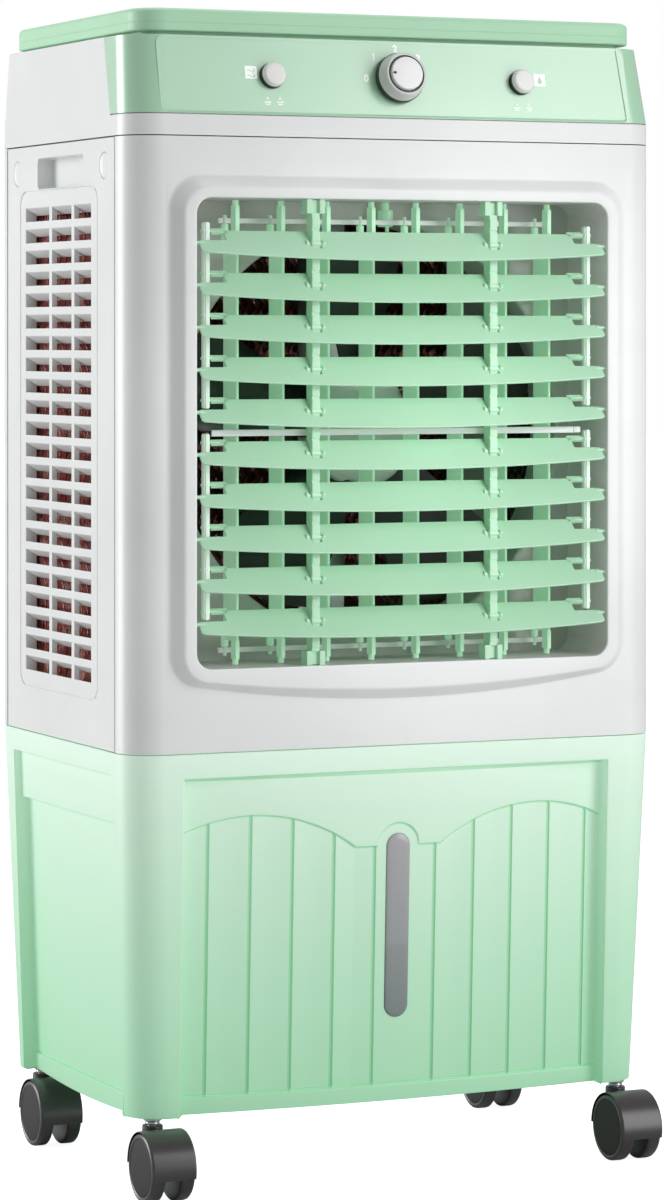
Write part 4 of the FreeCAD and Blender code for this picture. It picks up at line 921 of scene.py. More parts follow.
def rows_of(foot, skirt, floor, step_z, upper, top):
    """Rows of a sunk panel, foot to rim: (depth, pull, height); the pull rounds the tank's own ends."""
    return [(skirt, 0.0016, foot), (skirt, 0.0004, foot + 0.0003), (skirt, 0, foot + 0.0014),
            (skirt, 0, SKIRT_Z - 0.0012), (skirt + 0.0004, 0, SKIRT_Z - 0.0003),
            (floor + 0.001, 0, SKIRT_Z), (floor + 0.001, 0, SKIRT_Z + 0.0012),
            (floor, 0, SKIRT_Z + 0.0018), (floor, 0, step_z - 0.0018),
            (floor + 0.0009, 0, step_z - 0.0012), (floor + 0.0009, 0, step_z),
            (upper + 0.0004, 0, step_z + 0.0002), (upper, 0, step_z + 0.001), (upper, 0, top - 0.003),
            (upper, 0, top - 0.0003), (0.0012, 0, top), (0.0003, 0, top + 0.0004),
            (0, 0, top + 0.0016), (0, 0, SEAM_Z - 0.0012), (0, 0.0006, SEAM_Z - 0.0003)]


def plank_columns():
    """(x, extra depth) across the planks: a shallow fold in each plank and a rounded groove between two."""
    columns = []
    for left, right in zip(PLANK_EDGES, PLANK_EDGES[1:]):
        start = left + (0.0 if left == -PANEL_HALF else GROOVE_EDGE)
        end = right - (0.0 if right == PANEL_HALF else GROOVE_EDGE)
        if left < 0.0 < right:
            bump = [-BUMP_R * math.cos(math.pi * i / 18) for i in range(19)]
            columns += [(x, 0) for x in [start, *bump, end]]
        else:
            places = [start + (end - start) * i / 4 for i in range(5)]
            places += [x for x in (-ARCH_FOOT, ARCH_FOOT) if start < x < end]
            columns += [(x, FOLD * (1 - abs(2 * (x - start) / (end - start) - 1))) for x in sorted(places)]
        if right != PANEL_HALF:
            columns += [(right - GROOVE_HALF, GROOVE_EXTRA), (right + GROOVE_HALF, GROOVE_EXTRA)]
    return columns


print("planks:", len(PLANK_EDGES) - 1)

# %% [markdown]
# The columns are listed once round the tank: the planked front, a front corner, a side panel, a rear
# corner, and the same again mirrored. Near the ends of a panel the depth is held back to almost nothing for
# three columns, which rounds the panel's upright edges.

# %% Tank columns
EDGE_STEPS = ((-0.0016, 0), (-0.0004, 0.0003), (0, 0.0012))
EDGE = len(EDGE_STEPS)


def panel_edge(low, high, inner):
    """Adds the rounded edge columns to a panel's inner columns: (position, extra depth, greatest depth)."""
    left = [(low + shift, 0, limit) for shift, limit in EDGE_STEPS]
    right = [(high - shift, 0, limit) for shift, limit in reversed(EDGE_STEPS)]
    return left + [(u, extra, 1.0) for u, extra in inner] + right


def front_column(x, extra, limit):
    rows = rows_of(FOOT_Z, UPPER_DEPTH, PLANK_DEPTH + extra, arch_height(x), UPPER_DEPTH, PANEL_TOP)
    bowed = [(depth - bulge(x) if z < PANEL_TOP else depth, pull, z) for depth, pull, z in rows]
    return [front_point(x, min(depth, limit) + pull, z) for depth, pull, z in bowed]


def side_column(y, limit, side):
    rear = SIDE_REAR_Y - SAG_SHORT
    middle, half = (SIDE_FRONT_Y + rear) / 2, (rear - SIDE_FRONT_Y) / 2
    foot = FOOT_Z - SIDE_SAG * max(0, 1 - ((y - middle) / half) ** 2)
    rows = rows_of(foot, SIDE_DEPTH - SKIRT_OUT, SIDE_DEPTH, SIDE_STEP, SIDE_UPPER, SIDE_TOP)
    return [side_point(y, min(depth, limit) + pull, z, side) for depth, pull, z in rows]


def corner_column(angle, radius, front, side):
    """Column on a rounded upright corner; rows keep the heights of the panel beside it."""
    share = angle / 90.0
    at_front = rows_of(FOOT_Z, 0, 0, arch_height(PANEL_HALF), 0, PANEL_TOP)
    at_side = rows_of(FOOT_Z, 0, 0, SIDE_STEP, 0, SIDE_TOP)
    turn = math.radians(angle) if front else math.pi / 2 - math.radians(angle)
    column = []
    for (_, pull, z_front), (_, _, z_side) in zip(at_front, at_side):
        z = z_front + (z_side - z_front) * share if front else z_side
        x = taper(z, HALF_W, TAPER_W) - radius + (radius - pull) * math.sin(turn)
        y = taper(z, HALF_D, TAPER_D) - radius + (radius - pull) * math.cos(turn)
        column.append((side * x, MID_Y + (-y if front else y), z))
    return column


def flank_columns(side):
    """Front corner, side panel and rear corner of one side."""
    inner = [(SIDE_FRONT_Y + (SIDE_REAR_Y - SIDE_FRONT_Y) * i / 16, 0) for i in range(17)]
    turn = [corner_column(90 * i / 12, FRONT_RADIUS, True, side) for i in range(13)]
    panel = [side_column(y, limit, side) for y, _, limit in panel_edge(SIDE_FRONT_Y, SIDE_REAR_Y, inner)]
    return turn + panel + [corner_column(90 * i / 5, REAR_RADIUS, False, side) for i in range(6)]

# %% [markdown]
# Openings in a wall all follow one pattern: an outline that is drawn in a little and pushed deeper, step by
# step. `on_wall` says where a place and a depth lie on that wall, so one helper serves the tank's back, the
# side panels and the rear panel. The level window needs a slot with round ends in the bowed planks.

# %% Opening helpers
WINDOW_HALF, WINDOW_LOW, WINDOW_HIGH = 0.0097, 0.1245, 0.2672
SLOT_STEPS = 14


def rounded_hole(shell, on_wall, edges, radius, steps):
    """First and last ring of an opening with edges (u0, u1, v0, v1); a step is (inset, depth)."""
    u0, u1, v0, v1 = edges
    outlines = []
    for inset, depth in steps:
        radii = (max(radius - inset, 0.0003),) * 4
        flat = rounded_outline(u0 + inset, u1 - inset, v0 + inset, v1 - inset, radii, steps=6, spans=2)
        outlines.append([on_wall(u, v, depth) for u, v in flat])
    return shell.rings(outlines)


def round_hole(shell, on_wall, u, v, steps, sides=40):
    """First and last ring of a round opening; a step is (radius, depth)."""
    return shell.rings([[on_wall(x, z, depth) for x, z in circle(u, v, radius, sides)]
                        for radius, depth in steps])


def window_ring(inset, depth):
    """Upright slot with round ends, on the bowed face of the planks."""
    r = WINDOW_HALF - inset
    top, bottom = WINDOW_HIGH - WINDOW_HALF, WINDOW_LOW + WINDOW_HALF
    upper = [(r * math.cos(math.pi * i / SLOT_STEPS), top + r * math.sin(math.pi * i / SLOT_STEPS))
             for i in range(SLOT_STEPS + 1)]
    outline = upper + [(-x, bottom - (z - top)) for x, z in upper]
    return [front_point(x, PLANK_DEPTH - bulge(x) + depth, z) for x, z in outline]

# %% [markdown]
# The grid of faces is left open at two places, behind the window and in the flat back, and those are filled
# again as walls with holes in them. Faces in a groove, under the arch step and under the panel's upper edge
# take the darker finish: painted shade in the grooves, painted shadow under the edges.

# %% Tank skin
DOOR_EDGES, DOOR_FRAME, DOOR_STEPS = (-0.0535, 0.0535, 0.2875, 0.3275), 0.003, (
    (0, 0), (0.0004, 0.0003), (0.0007, 0.0012), (0.0007, 0.008))
FILLER_EDGES, FILLER_STEPS = (-0.046, 0.046, 0.297, 0.321), ((0, 0.008), (0, 0.01))
DRAIN_EDGES, DRAIN_RADIUS, DRAIN_STEPS = (0.135, 0.165, 0.065, 0.095), 0.0149, (
    (0, 0), (0.0004, 0.0003), (0.0008, 0.0012), (0.0008, 0.0105))


def tank_piece():
    shell = Shell()
    places = panel_edge(-PANEL_HALF, PANEL_HALF, plank_columns())
    front = [front_column(*spot) for spot in places]
    grooves = {i for i, (_, extra, _) in enumerate(places) if extra == GROOVE_EXTRA}
    right, left = flank_columns(1), flank_columns(-1)
    made = [shell.ring(column) for column in front + right + left[::-1]]
    rear, rows = len(front) + len(right) - 1, len(made[0])
    gauge = [i for i, column in enumerate(front) if LEFT_GROOVES[-1] < column[0][0] < RIGHT_GROOVES[0]][1:-1]
    rear_rows = range(2, rows - 3)
    for i, column in enumerate(made):
        beside = made[(i + 1) % len(made)]
        for k in range(rows - 1):
            window_gap = i in gauge[:-1] and k == FLOOR_ROW
            if not window_gap and not (i == rear and k in rear_rows):
                face = shell.mesh.faces.new((column[k], beside[k], beside[k + 1], column[k + 1]))
                # Groove faces and the bands under the arch step and the panel's top edge take painted shade
                # and shadow.
                in_groove = FLOOR_ROW - 1 <= k <= ARCH_ROW and (i in grooves or i + 1 in grooves)
                in_shadow_line = k in (ARCH_ROW, TOP_ROW) and EDGE <= i < len(front) - EDGE - 1
                face.material_index = int(in_groove or in_shadow_line)
    slot = ((-0.0004, 0), (-0.0003, 0.0005), (-0.0003, 0.0022))
    mouth, _ = shell.rings([window_ring(inset, depth) for inset, depth in slot])
    lower, upper = ([made[i][k] for i in gauge] for k in (FLOOR_ROW, FLOOR_ROW + 1))
    shell.fill_between(lower + upper[::-1], [mouth])
    door = rounded_hole(shell, back_point, DOOR_EDGES, DOOR_FRAME, DOOR_STEPS)
    drain = rounded_hole(shell, back_point, DRAIN_EDGES, DRAIN_RADIUS, DRAIN_STEPS)
    one, two = (column[rear_rows[0]:rear_rows[-1] + 2] for column in (made[rear], made[rear + 1]))
    shell.fill_between(one + two[::-1], [door[0], drain[0]])
    filler = rounded_hole(shell, back_point, FILLER_EDGES, DOOR_FRAME, FILLER_STEPS)
    shell.fill_between(door[1], [filler[0]])
    shell.cap(drain[1])
    foot = [column[0] for column in made]
    floor = shell.ring([(v.co.x * 0.985, MID_Y + (v.co.y - MID_Y) * 0.98, FOOT_Z + 0.001) for v in foot])
    shell.bridge(foot, floor)
    shell.cap(floor)
    return shell.finish("tank_body", [mint_tank, mint_groove], thickness=TANK_WALL, smooth=32.0)


place(tank_piece(), "cabinet", "mint_tank", "water_tank")

# %% [markdown]
# The level window is a smoky strip with round ends. Its face is slightly domed and sits a hair proud of the
# planks, with a thin shadow gap round it.

# %% Level window
def window_piece():
    shell = Shell()
    steps = ((0, 0.0016), (0, -0.0006), (0.0005, -0.0011), (0.0016, -0.0014), (0.005, -0.0016))
    back, face = shell.rings([window_ring(inset, depth) for inset, depth in steps])
    shell.cap(face)
    shell.cap(back)
    return shell.finish("window_strip", smoke_window, smooth=50.0)


place(window_piece(), "cabinet", "smoke_window", "level_window")

# %% [markdown]
# ## Repeating parts
# Grille slats, corrugated paper and louvres are one shape repeated many times, so node trees grow them.
# Each tree has named sizes as inputs; `grown` sets them, runs the tree once and hands back the plain mesh
# it made.

# %% Node tree helpers
def new_tree(name, floats=(), integers=()):
    """Empty geometry tree with named inputs; returns the tree and the outputs of its input node."""
    tree = bpy.data.node_groups.new(name, "GeometryNodeTree")
    tree.interface.new_socket("Geometry", in_out="OUTPUT", socket_type="NodeSocketGeometry")
    for kind, names in (("Geometry", ["Geometry"]), ("Float", floats), ("Int", integers),
                        ("Material", ["Material"])):
        for item in names:
            tree.interface.new_socket(item, in_out="INPUT", socket_type="NodeSocket" + kind)
    return tree, tree.nodes.new("NodeGroupInput").outputs


def wired(tree, kind, inputs=None, **settings):
    """New node whose input sockets are given as links or plain values; returns its first output."""
    node = tree.nodes.new(kind)
    for name, value in settings.items():
        setattr(node, name, value)
    for socket, value in (inputs or {}).items():
        if isinstance(value, bpy.types.NodeSocket):
            tree.links.new(value, node.inputs[socket])
        else:
            node.inputs[socket].default_value = value
    return node.outputs[0]


def maths(tree, operation, one, two=0.0):
    return wired(tree, "ShaderNodeMath", {0: one, 1: two}, operation=operation)


def vector(tree, x=0.0, y=0.0, z=0.0):
    return wired(tree, "ShaderNodeCombineXYZ", {0: x, 1: y, 2: z})


def position(tree):
    """Each point's X, Y and Z as three outputs."""
    return wired(tree, "ShaderNodeSeparateXYZ", {0: wired(tree, "GeometryNodeInputPosition")}).node.outputs


def repeated(tree, shape, points, turn=(0.0, 0.0, 0.0)):
    inputs = {"Points": points, "Instance": shape, "Rotation": turn}
    return wired(tree, "GeometryNodeInstanceOnPoints", inputs)


def close_tree(tree, take, geometry):
    """Realized instances and the finish, at the end of a tree."""
    plain = wired(tree, "GeometryNodeRealizeInstances", {"Geometry": geometry})
    dressed = wired(tree, "GeometryNodeSetMaterial", {"Geometry": plain, "Material": take["Material"]})
    tree.links.new(dressed, tree.nodes.new("NodeGroupOutput").inputs[0])
    return tree


def grown(tree, base=None, **sizes):
    """Runs a tree once and returns the plain mesh it grows; `_` stands for a space in a name."""
    holder = bpy.data.objects.new("grown", base or bpy.data.meshes.new("grown"))
    scene.collection.objects.link(holder)
    grow = holder.modifiers.new("grow", "NODES")
    grow.node_group = tree
    for item in tree.interface.items_tree:
        name = item.name.replace(" ", "_")
        if item.in_out == "INPUT" and name in sizes:
            grow[item.identifier] = sizes[name]
    mesh = evaluated_mesh(holder)
    grow.node_group = None
    holder.modifiers.clear()
    bpy.data.objects.remove(holder)
    return mesh

# %% [markdown]
# A grille slat is a bar that leans down towards the inside, so that drops from the pad run back into the
# cooler and not onto the floor. `slat_bank` makes one bar, shears it, and repeats it down a line.

# %% Slat bank
def slat_bank_tree():
    tree, take = new_tree("slat_bank", ("Length", "Depth", "Face", "Drop", "Pitch"), ("Count",))
    size = vector(tree, take["Length"], take["Depth"], take["Face"])
    bar = wired(tree, "GeometryNodeMeshCube", {"Size": size})
    share = maths(tree, "ADD", maths(tree, "DIVIDE", position(tree)["Y"], take["Depth"]), 0.5)
    fall = maths(tree, "MULTIPLY", maths(tree, "MULTIPLY", share, take["Drop"]), -1.0)
    leaning = wired(tree, "GeometryNodeSetPosition", {"Geometry": bar, "Offset": vector(tree, z=fall)})
    step = vector(tree, z=maths(tree, "MULTIPLY", take["Pitch"], -1.0))
    line = wired(tree, "GeometryNodeMeshLine", {"Count": take["Count"], "Offset": step})
    return close_tree(tree, take, repeated(tree, leaning, line))


slat_bank = slat_bank_tree()
print("tree:", slat_bank.name, "with", len(slat_bank.nodes), "nodes")

# %% [markdown]
# Every intake is the same: a block outlined by a fine groove, with an opening whose upper and lower edges
# fall inwards as the slats do. Slats and the upright bars between them come from the same tree, the bars
# turned.

# %% Intake helpers
GRILLE_TOP, GRILLE_PITCH, GRILLE_ROWS = 0.7535, 0.017, 22
SLAT_FACE, SLAT_DEPTH, SLAT_DROP, MULLION_DEPTH = 0.0062, 0.0092, 0.0059, 0.0046
GRILLE_LOW = GRILLE_TOP - GRILLE_ROWS * GRILLE_PITCH + SLAT_FACE
INTAKE_LOW, INTAKE_TOP, INTAKE_RADIUS = 0.372, 0.767, 0.012
INTAKE_GROOVE = ((0, 0), (0.0003, 0.0014), (0.0015, 0.0014), (0.0018, 0.0001))
PANEL_WALL = 0.0016


def slat_opening(shell, on_wall, inner, left, right):
    """Opening behind the slats, between `left` and `right`, in the wall inside the groove's `inner` ring."""
    mouths = []
    for inset, depth in ((-0.0004, 0.0001), (0, 0.0005), (0, SLAT_DEPTH)):
        fall = SLAT_DROP * depth / SLAT_DEPTH
        edges = rectangle(left + inset, right - inset, GRILLE_LOW + inset, GRILLE_TOP - inset)
        mouths.append([on_wall(u, v - fall, depth) for u, v in edges])
    mouth, _ = shell.rings(mouths)
    shell.fill_between(inner, [mouth])


def grille_bars(width, mullion_w, mullion_pitch, mullions, middle=0.0):
    """Slats and mullions of one grille in its own frame: x along the wall, y inwards, z up."""
    slats = grown(slat_bank, Length=width + 0.003, Depth=SLAT_DEPTH - 0.0002, Face=SLAT_FACE, Drop=SLAT_DROP,
                  Pitch=GRILLE_PITCH, Count=GRILLE_ROWS - 1, Material=white_abs)
    tall = GRILLE_TOP - GRILLE_LOW + SLAT_DROP
    bars = grown(slat_bank, Length=tall, Depth=MULLION_DEPTH, Face=mullion_w, Drop=0.0,
                 Pitch=mullion_pitch, Count=mullions, Material=white_abs)
    first_slat = Vector((0, SLAT_DEPTH / 2 + 0.0001, GRILLE_TOP - GRILLE_PITCH + SLAT_FACE / 2))
    first_bar = Vector((middle + mullion_pitch * (mullions - 1) / 2, MULLION_DEPTH / 2 + 0.0004,
                        GRILLE_TOP + 0.0005 - tall / 2))
    upright = Matrix.Translation(first_bar) @ Matrix.Rotation(math.radians(90), 4, "Y")
    return Shell().add(slats, Matrix.Translation(first_slat)).add(bars, upright)


def place_grille(name, bars, x_row, y_row):
    """Turns a grille's bars into their wall: the rows say where its x and y axes lead."""
    bars.mesh.transform(Matrix((x_row, y_row, (0, 0, 1, 0), (0, 0, 0, 1))))
    place(bars.finish(name + "_bars", white_abs, bevel=0.0005, weld=0.0), "cabinet", "white_abs")

# %% [markdown]
# ## Side panels
# A side panel is a white plate with a hand pocket at the top, two round screw caps beside it, and the
# slatted intake. Its border is rolled over at the seam, and its faces inside the gap are painted dark as
# the gap's shade. The left panel is the right one's mirror image, so one function with a `side` of 1 or -1
# makes both.

# %% Side panels
SIDE_FRONT, SIDE_REAR, PANEL_GAP = MID_Y - 0.112, MID_Y + 0.1295, 0.0013
CAP_PLACES = ((MID_Y - 0.089, 0.7815), (MID_Y + 0.1045, 0.7815))
SIDE_BARS = (MID_Y - 0.0609, MID_Y + 0.0857)
SIDE_INTAKE = (MID_Y - 0.0756, MID_Y + 0.0987, INTAKE_LOW, INTAKE_TOP)
POCKET = (MID_Y - 0.044, MID_Y + 0.059, 0.768, 0.792)
POCKET_STEPS = ((-0.0008, 0), (-0.0002, 0.0003), (0, 0.001), (0, 0.0106), (0.0006, 0.0122),
                (0.0018, 0.0128))
CAP_SEAT_STEPS = ((0.0107, 0), (0.0104, 0.0002), (0.0104, 0.0028))


def side_panel_piece(side, name):
    shell = Shell()

    def on_wall(y, z, depth):
        return (side * (HALF_W - depth), y, z)

    def border(inset, depth):
        edges = rectangle(SIDE_FRONT + PANEL_GAP + inset, SIDE_REAR - PANEL_GAP - inset,
                          CASE_LOW + inset, CASE_HIGH - inset)
        return [on_wall(y, z, depth) for y, z in edges]

    # The faces inside the seam take the dark material: painted shade of the gap.
    _, lip = shell.rings([border(0, 0.0016), border(0, 0.0005)], material=1)
    face = shell.ring(border(0.0006, 0))
    shell.bridge(lip, face)
    pocket, pocket_floor = rounded_hole(shell, on_wall, POCKET, 0.004, POCKET_STEPS)
    shell.cap(pocket_floor)
    seats = []
    for y, z in CAP_PLACES:
        seat, seat_floor = round_hole(shell, on_wall, y, z, CAP_SEAT_STEPS)
        shell.cap(seat_floor)
        seats.append(seat)
    groove, inner = rounded_hole(shell, on_wall, SIDE_INTAKE, INTAKE_RADIUS, INTAKE_GROOVE)
    shell.fill_between(face, [pocket, groove, *seats])
    slat_opening(shell, on_wall, inner, *SIDE_BARS)
    piece = shell.finish(name + "_wall", [white_abs, groove_black], thickness=PANEL_WALL, smooth=35.0)
    place(piece, "cabinet", "white_abs", name)
    bars = grille_bars(SIDE_BARS[1] - SIDE_BARS[0], 0.0062, 0.05, 2, -0.0075)
    place_grille(name, bars, (0, -side, 0, side * HALF_W), (1, 0, 0, sum(SIDE_BARS) / 2))


side_panel_piece(1, "side_panel_right")
side_panel_piece(-1, "side_panel_left")

# %% [markdown]
# The screw caps are thin discs with a rolled rim and a slightly hollow face, pressed into the seats of the
# panels.

# %% Screw caps
def screw_cap_piece():
    shell = Shell()
    profile = [(-0.0029, 0.0102), (-0.0007, 0.0102), (-0.0003, 0.0098), (-0.0001, 0.009), (-0.0003, 0.0082),
               (-0.0006, 0.0074), (-0.0008, 0.004), (-0.0008, NEARLY_ZERO)]
    for side in (-1, 1):
        for y, z in CAP_PLACES:
            shell.turned(profile, (side * HALF_W, y, z), (side, 0, 0), 44)
    return shell.finish("screw_cap_discs", white_abs, smooth=50.0)


place(screw_cap_piece(), "cabinet", "white_abs", "screw_caps")

# %% [markdown]
# ## Rear panel
# The back of the case is one plate that turns the two small rear corners. It has the widest intake, five
# columns of slats, and a round hole at the top corner where the mains cable leaves.

# %% Rear panel
REAR_BARS = 0.147
CABLE_X, CABLE_Z = -0.19, 0.782
CABLE_STEPS = ((0.0066, 0), (0.0061, 0.0003), (0.006, 0.001), (0.006, 0.0024))


def rear_panel_piece():
    shell = Shell()
    flat = HALF_W - REAR_RADIUS

    def on_wall(x, z, depth):
        return (x, BACK_Y - depth, z)

    face = shell.ring([on_wall(x, z, 0) for x, z in rectangle(-flat, flat, CASE_LOW, CASE_HIGH)])
    groove, inner = rounded_hole(shell, on_wall, (-0.165, 0.165, INTAKE_LOW, INTAKE_TOP), INTAKE_RADIUS,
                                 INTAKE_GROOVE)
    outlet, _ = round_hole(shell, on_wall, CABLE_X, CABLE_Z, CABLE_STEPS, 32)
    shell.fill_between(face, [groove, outlet])
    slat_opening(shell, on_wall, inner, -REAR_BARS, REAR_BARS)
    for side in (-1, 1):
        corner = arc((flat, BACK_Y - REAR_RADIUS), REAR_RADIUS, 90, 0, 8) + [(HALF_W, SIDE_REAR + SEAM_GAP)]
        shell.rings([[(side * x, y, z) for x, y in corner] for z in (CASE_LOW, CASE_HIGH)], closed=False)
    piece = shell.finish("rear_panel_wall", white_abs, thickness=PANEL_WALL, smooth=35.0)
    place(piece, "cabinet", "white_abs", "rear_panel")
    bars = grille_bars(2 * REAR_BARS, 0.006, 0.06, 4)
    place_grille("rear_panel", bars, (1, 0, 0, 0), (0, -1, 0, BACK_Y))


rear_panel_piece()

# %% [markdown]
# ## Wet pads
# A pad is a stack of corrugated paper sheets glued crest to crest, with the flutes of one sheet rising
# inwards and those of the next falling. Air squeezes through the crossing channels. `flute_stack` bends one
# sheet with a sine wave, bends a second one the other way, and repeats the pair along the pad.

# %% Flute stack
SHEET_PITCH, FLUTE, SHEET_T, CREST = 0.0068, 0.0155, 0.0004, 0.47


def flute_stack_tree():
    tree, take = new_tree("flute_stack", ("Depth", "Height", "Wave", "Sheet Pitch"), ("Pairs", "Rows"))
    sheet = wired(tree, "GeometryNodeMeshGrid", {"Size X": take["Depth"], "Size Y": take["Height"],
                                                 "Vertices X": 5, "Vertices Y": take["Rows"]})
    at, pitch = position(tree), take["Sheet Pitch"]
    turn = maths(tree, "DIVIDE", 2 * math.pi, take["Wave"])
    step = vector(tree, z=maths(tree, "MULTIPLY", pitch, 2.0))
    line = wired(tree, "GeometryNodeMeshLine", {"Count": take["Pairs"], "Offset": step})
    join = wired(tree, "GeometryNodeJoinGeometry")
    for sign, shift in ((1.0, 0), (-1.0, 1.0)):
        along = maths(tree, "ADD", at["Y"], maths(tree, "MULTIPLY", at["X"], sign))
        wave = maths(tree, "SINE", maths(tree, "MULTIPLY", along, turn))
        height = maths(tree, "MULTIPLY", wave, maths(tree, "MULTIPLY", pitch, CREST))
        lift = maths(tree, "ADD", height, maths(tree, "MULTIPLY", pitch, shift))
        bent = wired(tree, "GeometryNodeSetPosition", {"Geometry": sheet, "Offset": vector(tree, z=lift)})
        tree.links.new(repeated(tree, bent, line), join.node.inputs[0])
    return close_tree(tree, take, join)


flute_stack = flute_stack_tree()
print("tree:", flute_stack.name, "with", len(flute_stack.nodes), "nodes")

# %% [markdown]
# The three pads differ only in their box and in which way they face. The tree grows a stack in its own
# frame, with the depth along x and the sheets piled along z, and a matrix lays it into the pad's box.

# %% Pads
def pad_piece(node):
    low, high = span(node)
    size, middle = high - low, (low + high) / 2
    faces_side = size.x < size.y
    width, depth = (size.y, size.x) if faces_side else (size.x, size.y)
    pairs = int((width - 0.001) / (2 * SHEET_PITCH))
    mesh = grown(flute_stack, Depth=depth - 0.001, Height=size.z - 0.001, Wave=FLUTE, Pairs=pairs,
                 Rows=int(size.z / FLUTE * 6), Material=pad_paper, Sheet_Pitch=SHEET_PITCH)
    first = -SHEET_PITCH * (pairs - 0.5)
    if faces_side:
        rows = ((1, 0, 0, middle.x), (0, 0, 1, middle.y + first))
    else:
        rows = ((0, 0, 1, middle.x + first), (1, 0, 0, middle.y))
    shell = Shell().add(mesh, Matrix((*rows, (0, 1, 0, middle.z), (0, 0, 0, 1))))
    piece = shell.finish(node + "_flutes", pad_paper, thickness=SHEET_T, smooth=60.0)
    place(piece, "cabinet", "pad_paper", node)


for node in ("pad_right", "pad_left", "pad_rear"):
    pad_piece(node)

# %% [markdown]
# ## Louvre blades
# Ten blades steer the air up and down, in two groups of five. A blade is a thin sheet with a bowed front
# edge; it has two slots for the ribs of the fixed grid, round pins in them, and an arm with a pin at each
# end. It is drawn flat about its own pivot, where its numbers are easy to read.

# %% Blade sizes and pins
frame_body = {node: body for body, names in frame["record"]["behaviour"]["bodies"].items() for node in names}
BLADES, GROUP, BLADE_PITCH, BLADE_TILT = 10, 5, 0.032, 45.0
BLADE_Y, OUTLET_Z = MID_Y - 0.148, 0.578
TIP_X, ARM_X, RIB_X, SHOULDER = 0.171, 0.148, 0.0755, 0.002
FRONT_END, FRONT_BOW, BLADE_REAR, BLADE_HALF_T = -0.0099, 0.0081, 0.0129, 0.0009
NOTCH_HALF, NOTCH_BACK = 0.0045, -0.0062
TIE_ARM, PIN_R = 0.0124, 0.0015
EASED = (0.0003, 0.0003)


def pin(length, radius, near=EASED, far=EASED, core=NEARLY_ZERO):
    """Lathe profile of a round pin. Its ends are eased by (along, across), or square where that is None."""
    start = [(0, radius - near[1]), (near[0], radius)] if near else [(0, radius)]
    end = [(length - far[0], radius), (length, radius - far[1])] if far else [(length, radius)]
    return [(0, core), *start, *end, (length, core)]


def blade_front(x):
    """Place of the bowed front edge, which lies ahead of the pivot line."""
    return FRONT_END - FRONT_BOW * (1 - (x / TIP_X) ** 2)


def blade_outline():
    """Blade edge as (x, y), with the pivot line at y = 0 and the front edge at negative y."""
    half = [(0, BLADE_REAR), (RIB_X - NOTCH_HALF, BLADE_REAR), (RIB_X - NOTCH_HALF, NOTCH_BACK),
            (RIB_X + NOTCH_HALF, NOTCH_BACK), (RIB_X + NOTCH_HALF, BLADE_REAR), (ARM_X - 0.0012, BLADE_REAR),
            (ARM_X, BLADE_REAR - 0.0012), (ARM_X, SHOULDER + 0.001), (ARM_X + 0.001, SHOULDER),
            (TIP_X - 0.0015, SHOULDER), (TIP_X, SHOULDER - 0.0015), (TIP_X, -0.0084),
            (TIP_X - 0.002, blade_front(TIP_X))]
    half += [(x, blade_front(x)) for x in (TIP_X * (1 - i / 14) for i in range(1, 15))]
    return half + [(-x, y) for x, y in reversed(half[1:-1])]


def blade_mesh():
    """Flat blade about its own pivot: rounded sheet, hinge blocks, pins and tie-bar arms."""
    shell = Shell()
    middle = 0.002

    def layer(shrink, z):
        return [(x * (1 - shrink / TIP_X), middle + (y - middle) * (1 - shrink / 0.014), z)
                for x, y in blade_outline()]

    low, high = shell.rings([layer(0.0005, -BLADE_HALF_T), layer(0.0001, -0.0006), layer(0, -0.0002),
                             layer(0, 0.0002), layer(0.0001, 0.0006), layer(0.0005, BLADE_HALF_T)])
    shell.fill_between(low)
    shell.fill_between(high)
    for side in (-1, 1):
        shell.turned(pin(0.016, PIN_R), (side * RIB_X - 0.008, 0, 0), (1, 0, 0), 14)
        shell.turned(pin(0.0095, PIN_R, near=None), (side * (TIP_X - 0.005), 0, 0), (side, 0, 0), 14)
        for x in (RIB_X - 0.0068, RIB_X + 0.0068):
            block = pin(0.0022, 0.0027, (0.0005, 0.0003), (0.0005, 0.0003), core=0.0)
            shell.turned(block, (side * x - 0.0011, 0, 0), (1, 0, 0), 16)
        low_x, high_x = sorted((side * (ARM_X - 0.003), side * 0.158))
        shell.box((low_x, TIE_ARM - 0.0025, -BLADE_HALF_T), (high_x, TIE_ARM + 0.0025, BLADE_HALF_T))
        tip = pin(0.015, 0.00125, None, (0.0003, 0.00025))
        shell.turned(tip, (side * 0.151, TIE_ARM, 0), (side, 0, 0), 14)
    return shell.bare_mesh("blade")


one_blade = blade_mesh()
print("blade points:", len(one_blade.vertices))

# %% [markdown]
# Each blade turns on its own, so each has to be a piece of its own. A node tree takes the flat blade and
# sets it at one place of an even row, with a tilt; running it once for each place gives the ten blades.

# %% Blade rows
def one_of_row_tree():
    """Sets the base mesh at one place of a row; Index is counted from its left or low end."""
    tree, take = new_tree("one_of_row", ("Across", "Up", "Forward", "Middle", "Tilt"), ("Index", "Count"))
    half = maths(tree, "MULTIPLY", maths(tree, "SUBTRACT", take["Count"], 1.0), 0.5)
    steps = maths(tree, "SUBTRACT", take["Index"], half)
    across = maths(tree, "MULTIPLY", steps, take["Across"])
    height = maths(tree, "ADD", take["Middle"], maths(tree, "MULTIPLY", steps, take["Up"]))
    spot = wired(tree, "GeometryNodeMeshLine",
                 {"Count": 1, "Start Location": vector(tree, across, take["Forward"], height)})
    return close_tree(tree, take, repeated(tree, take["Geometry"], spot, vector(tree, take["Tilt"])))


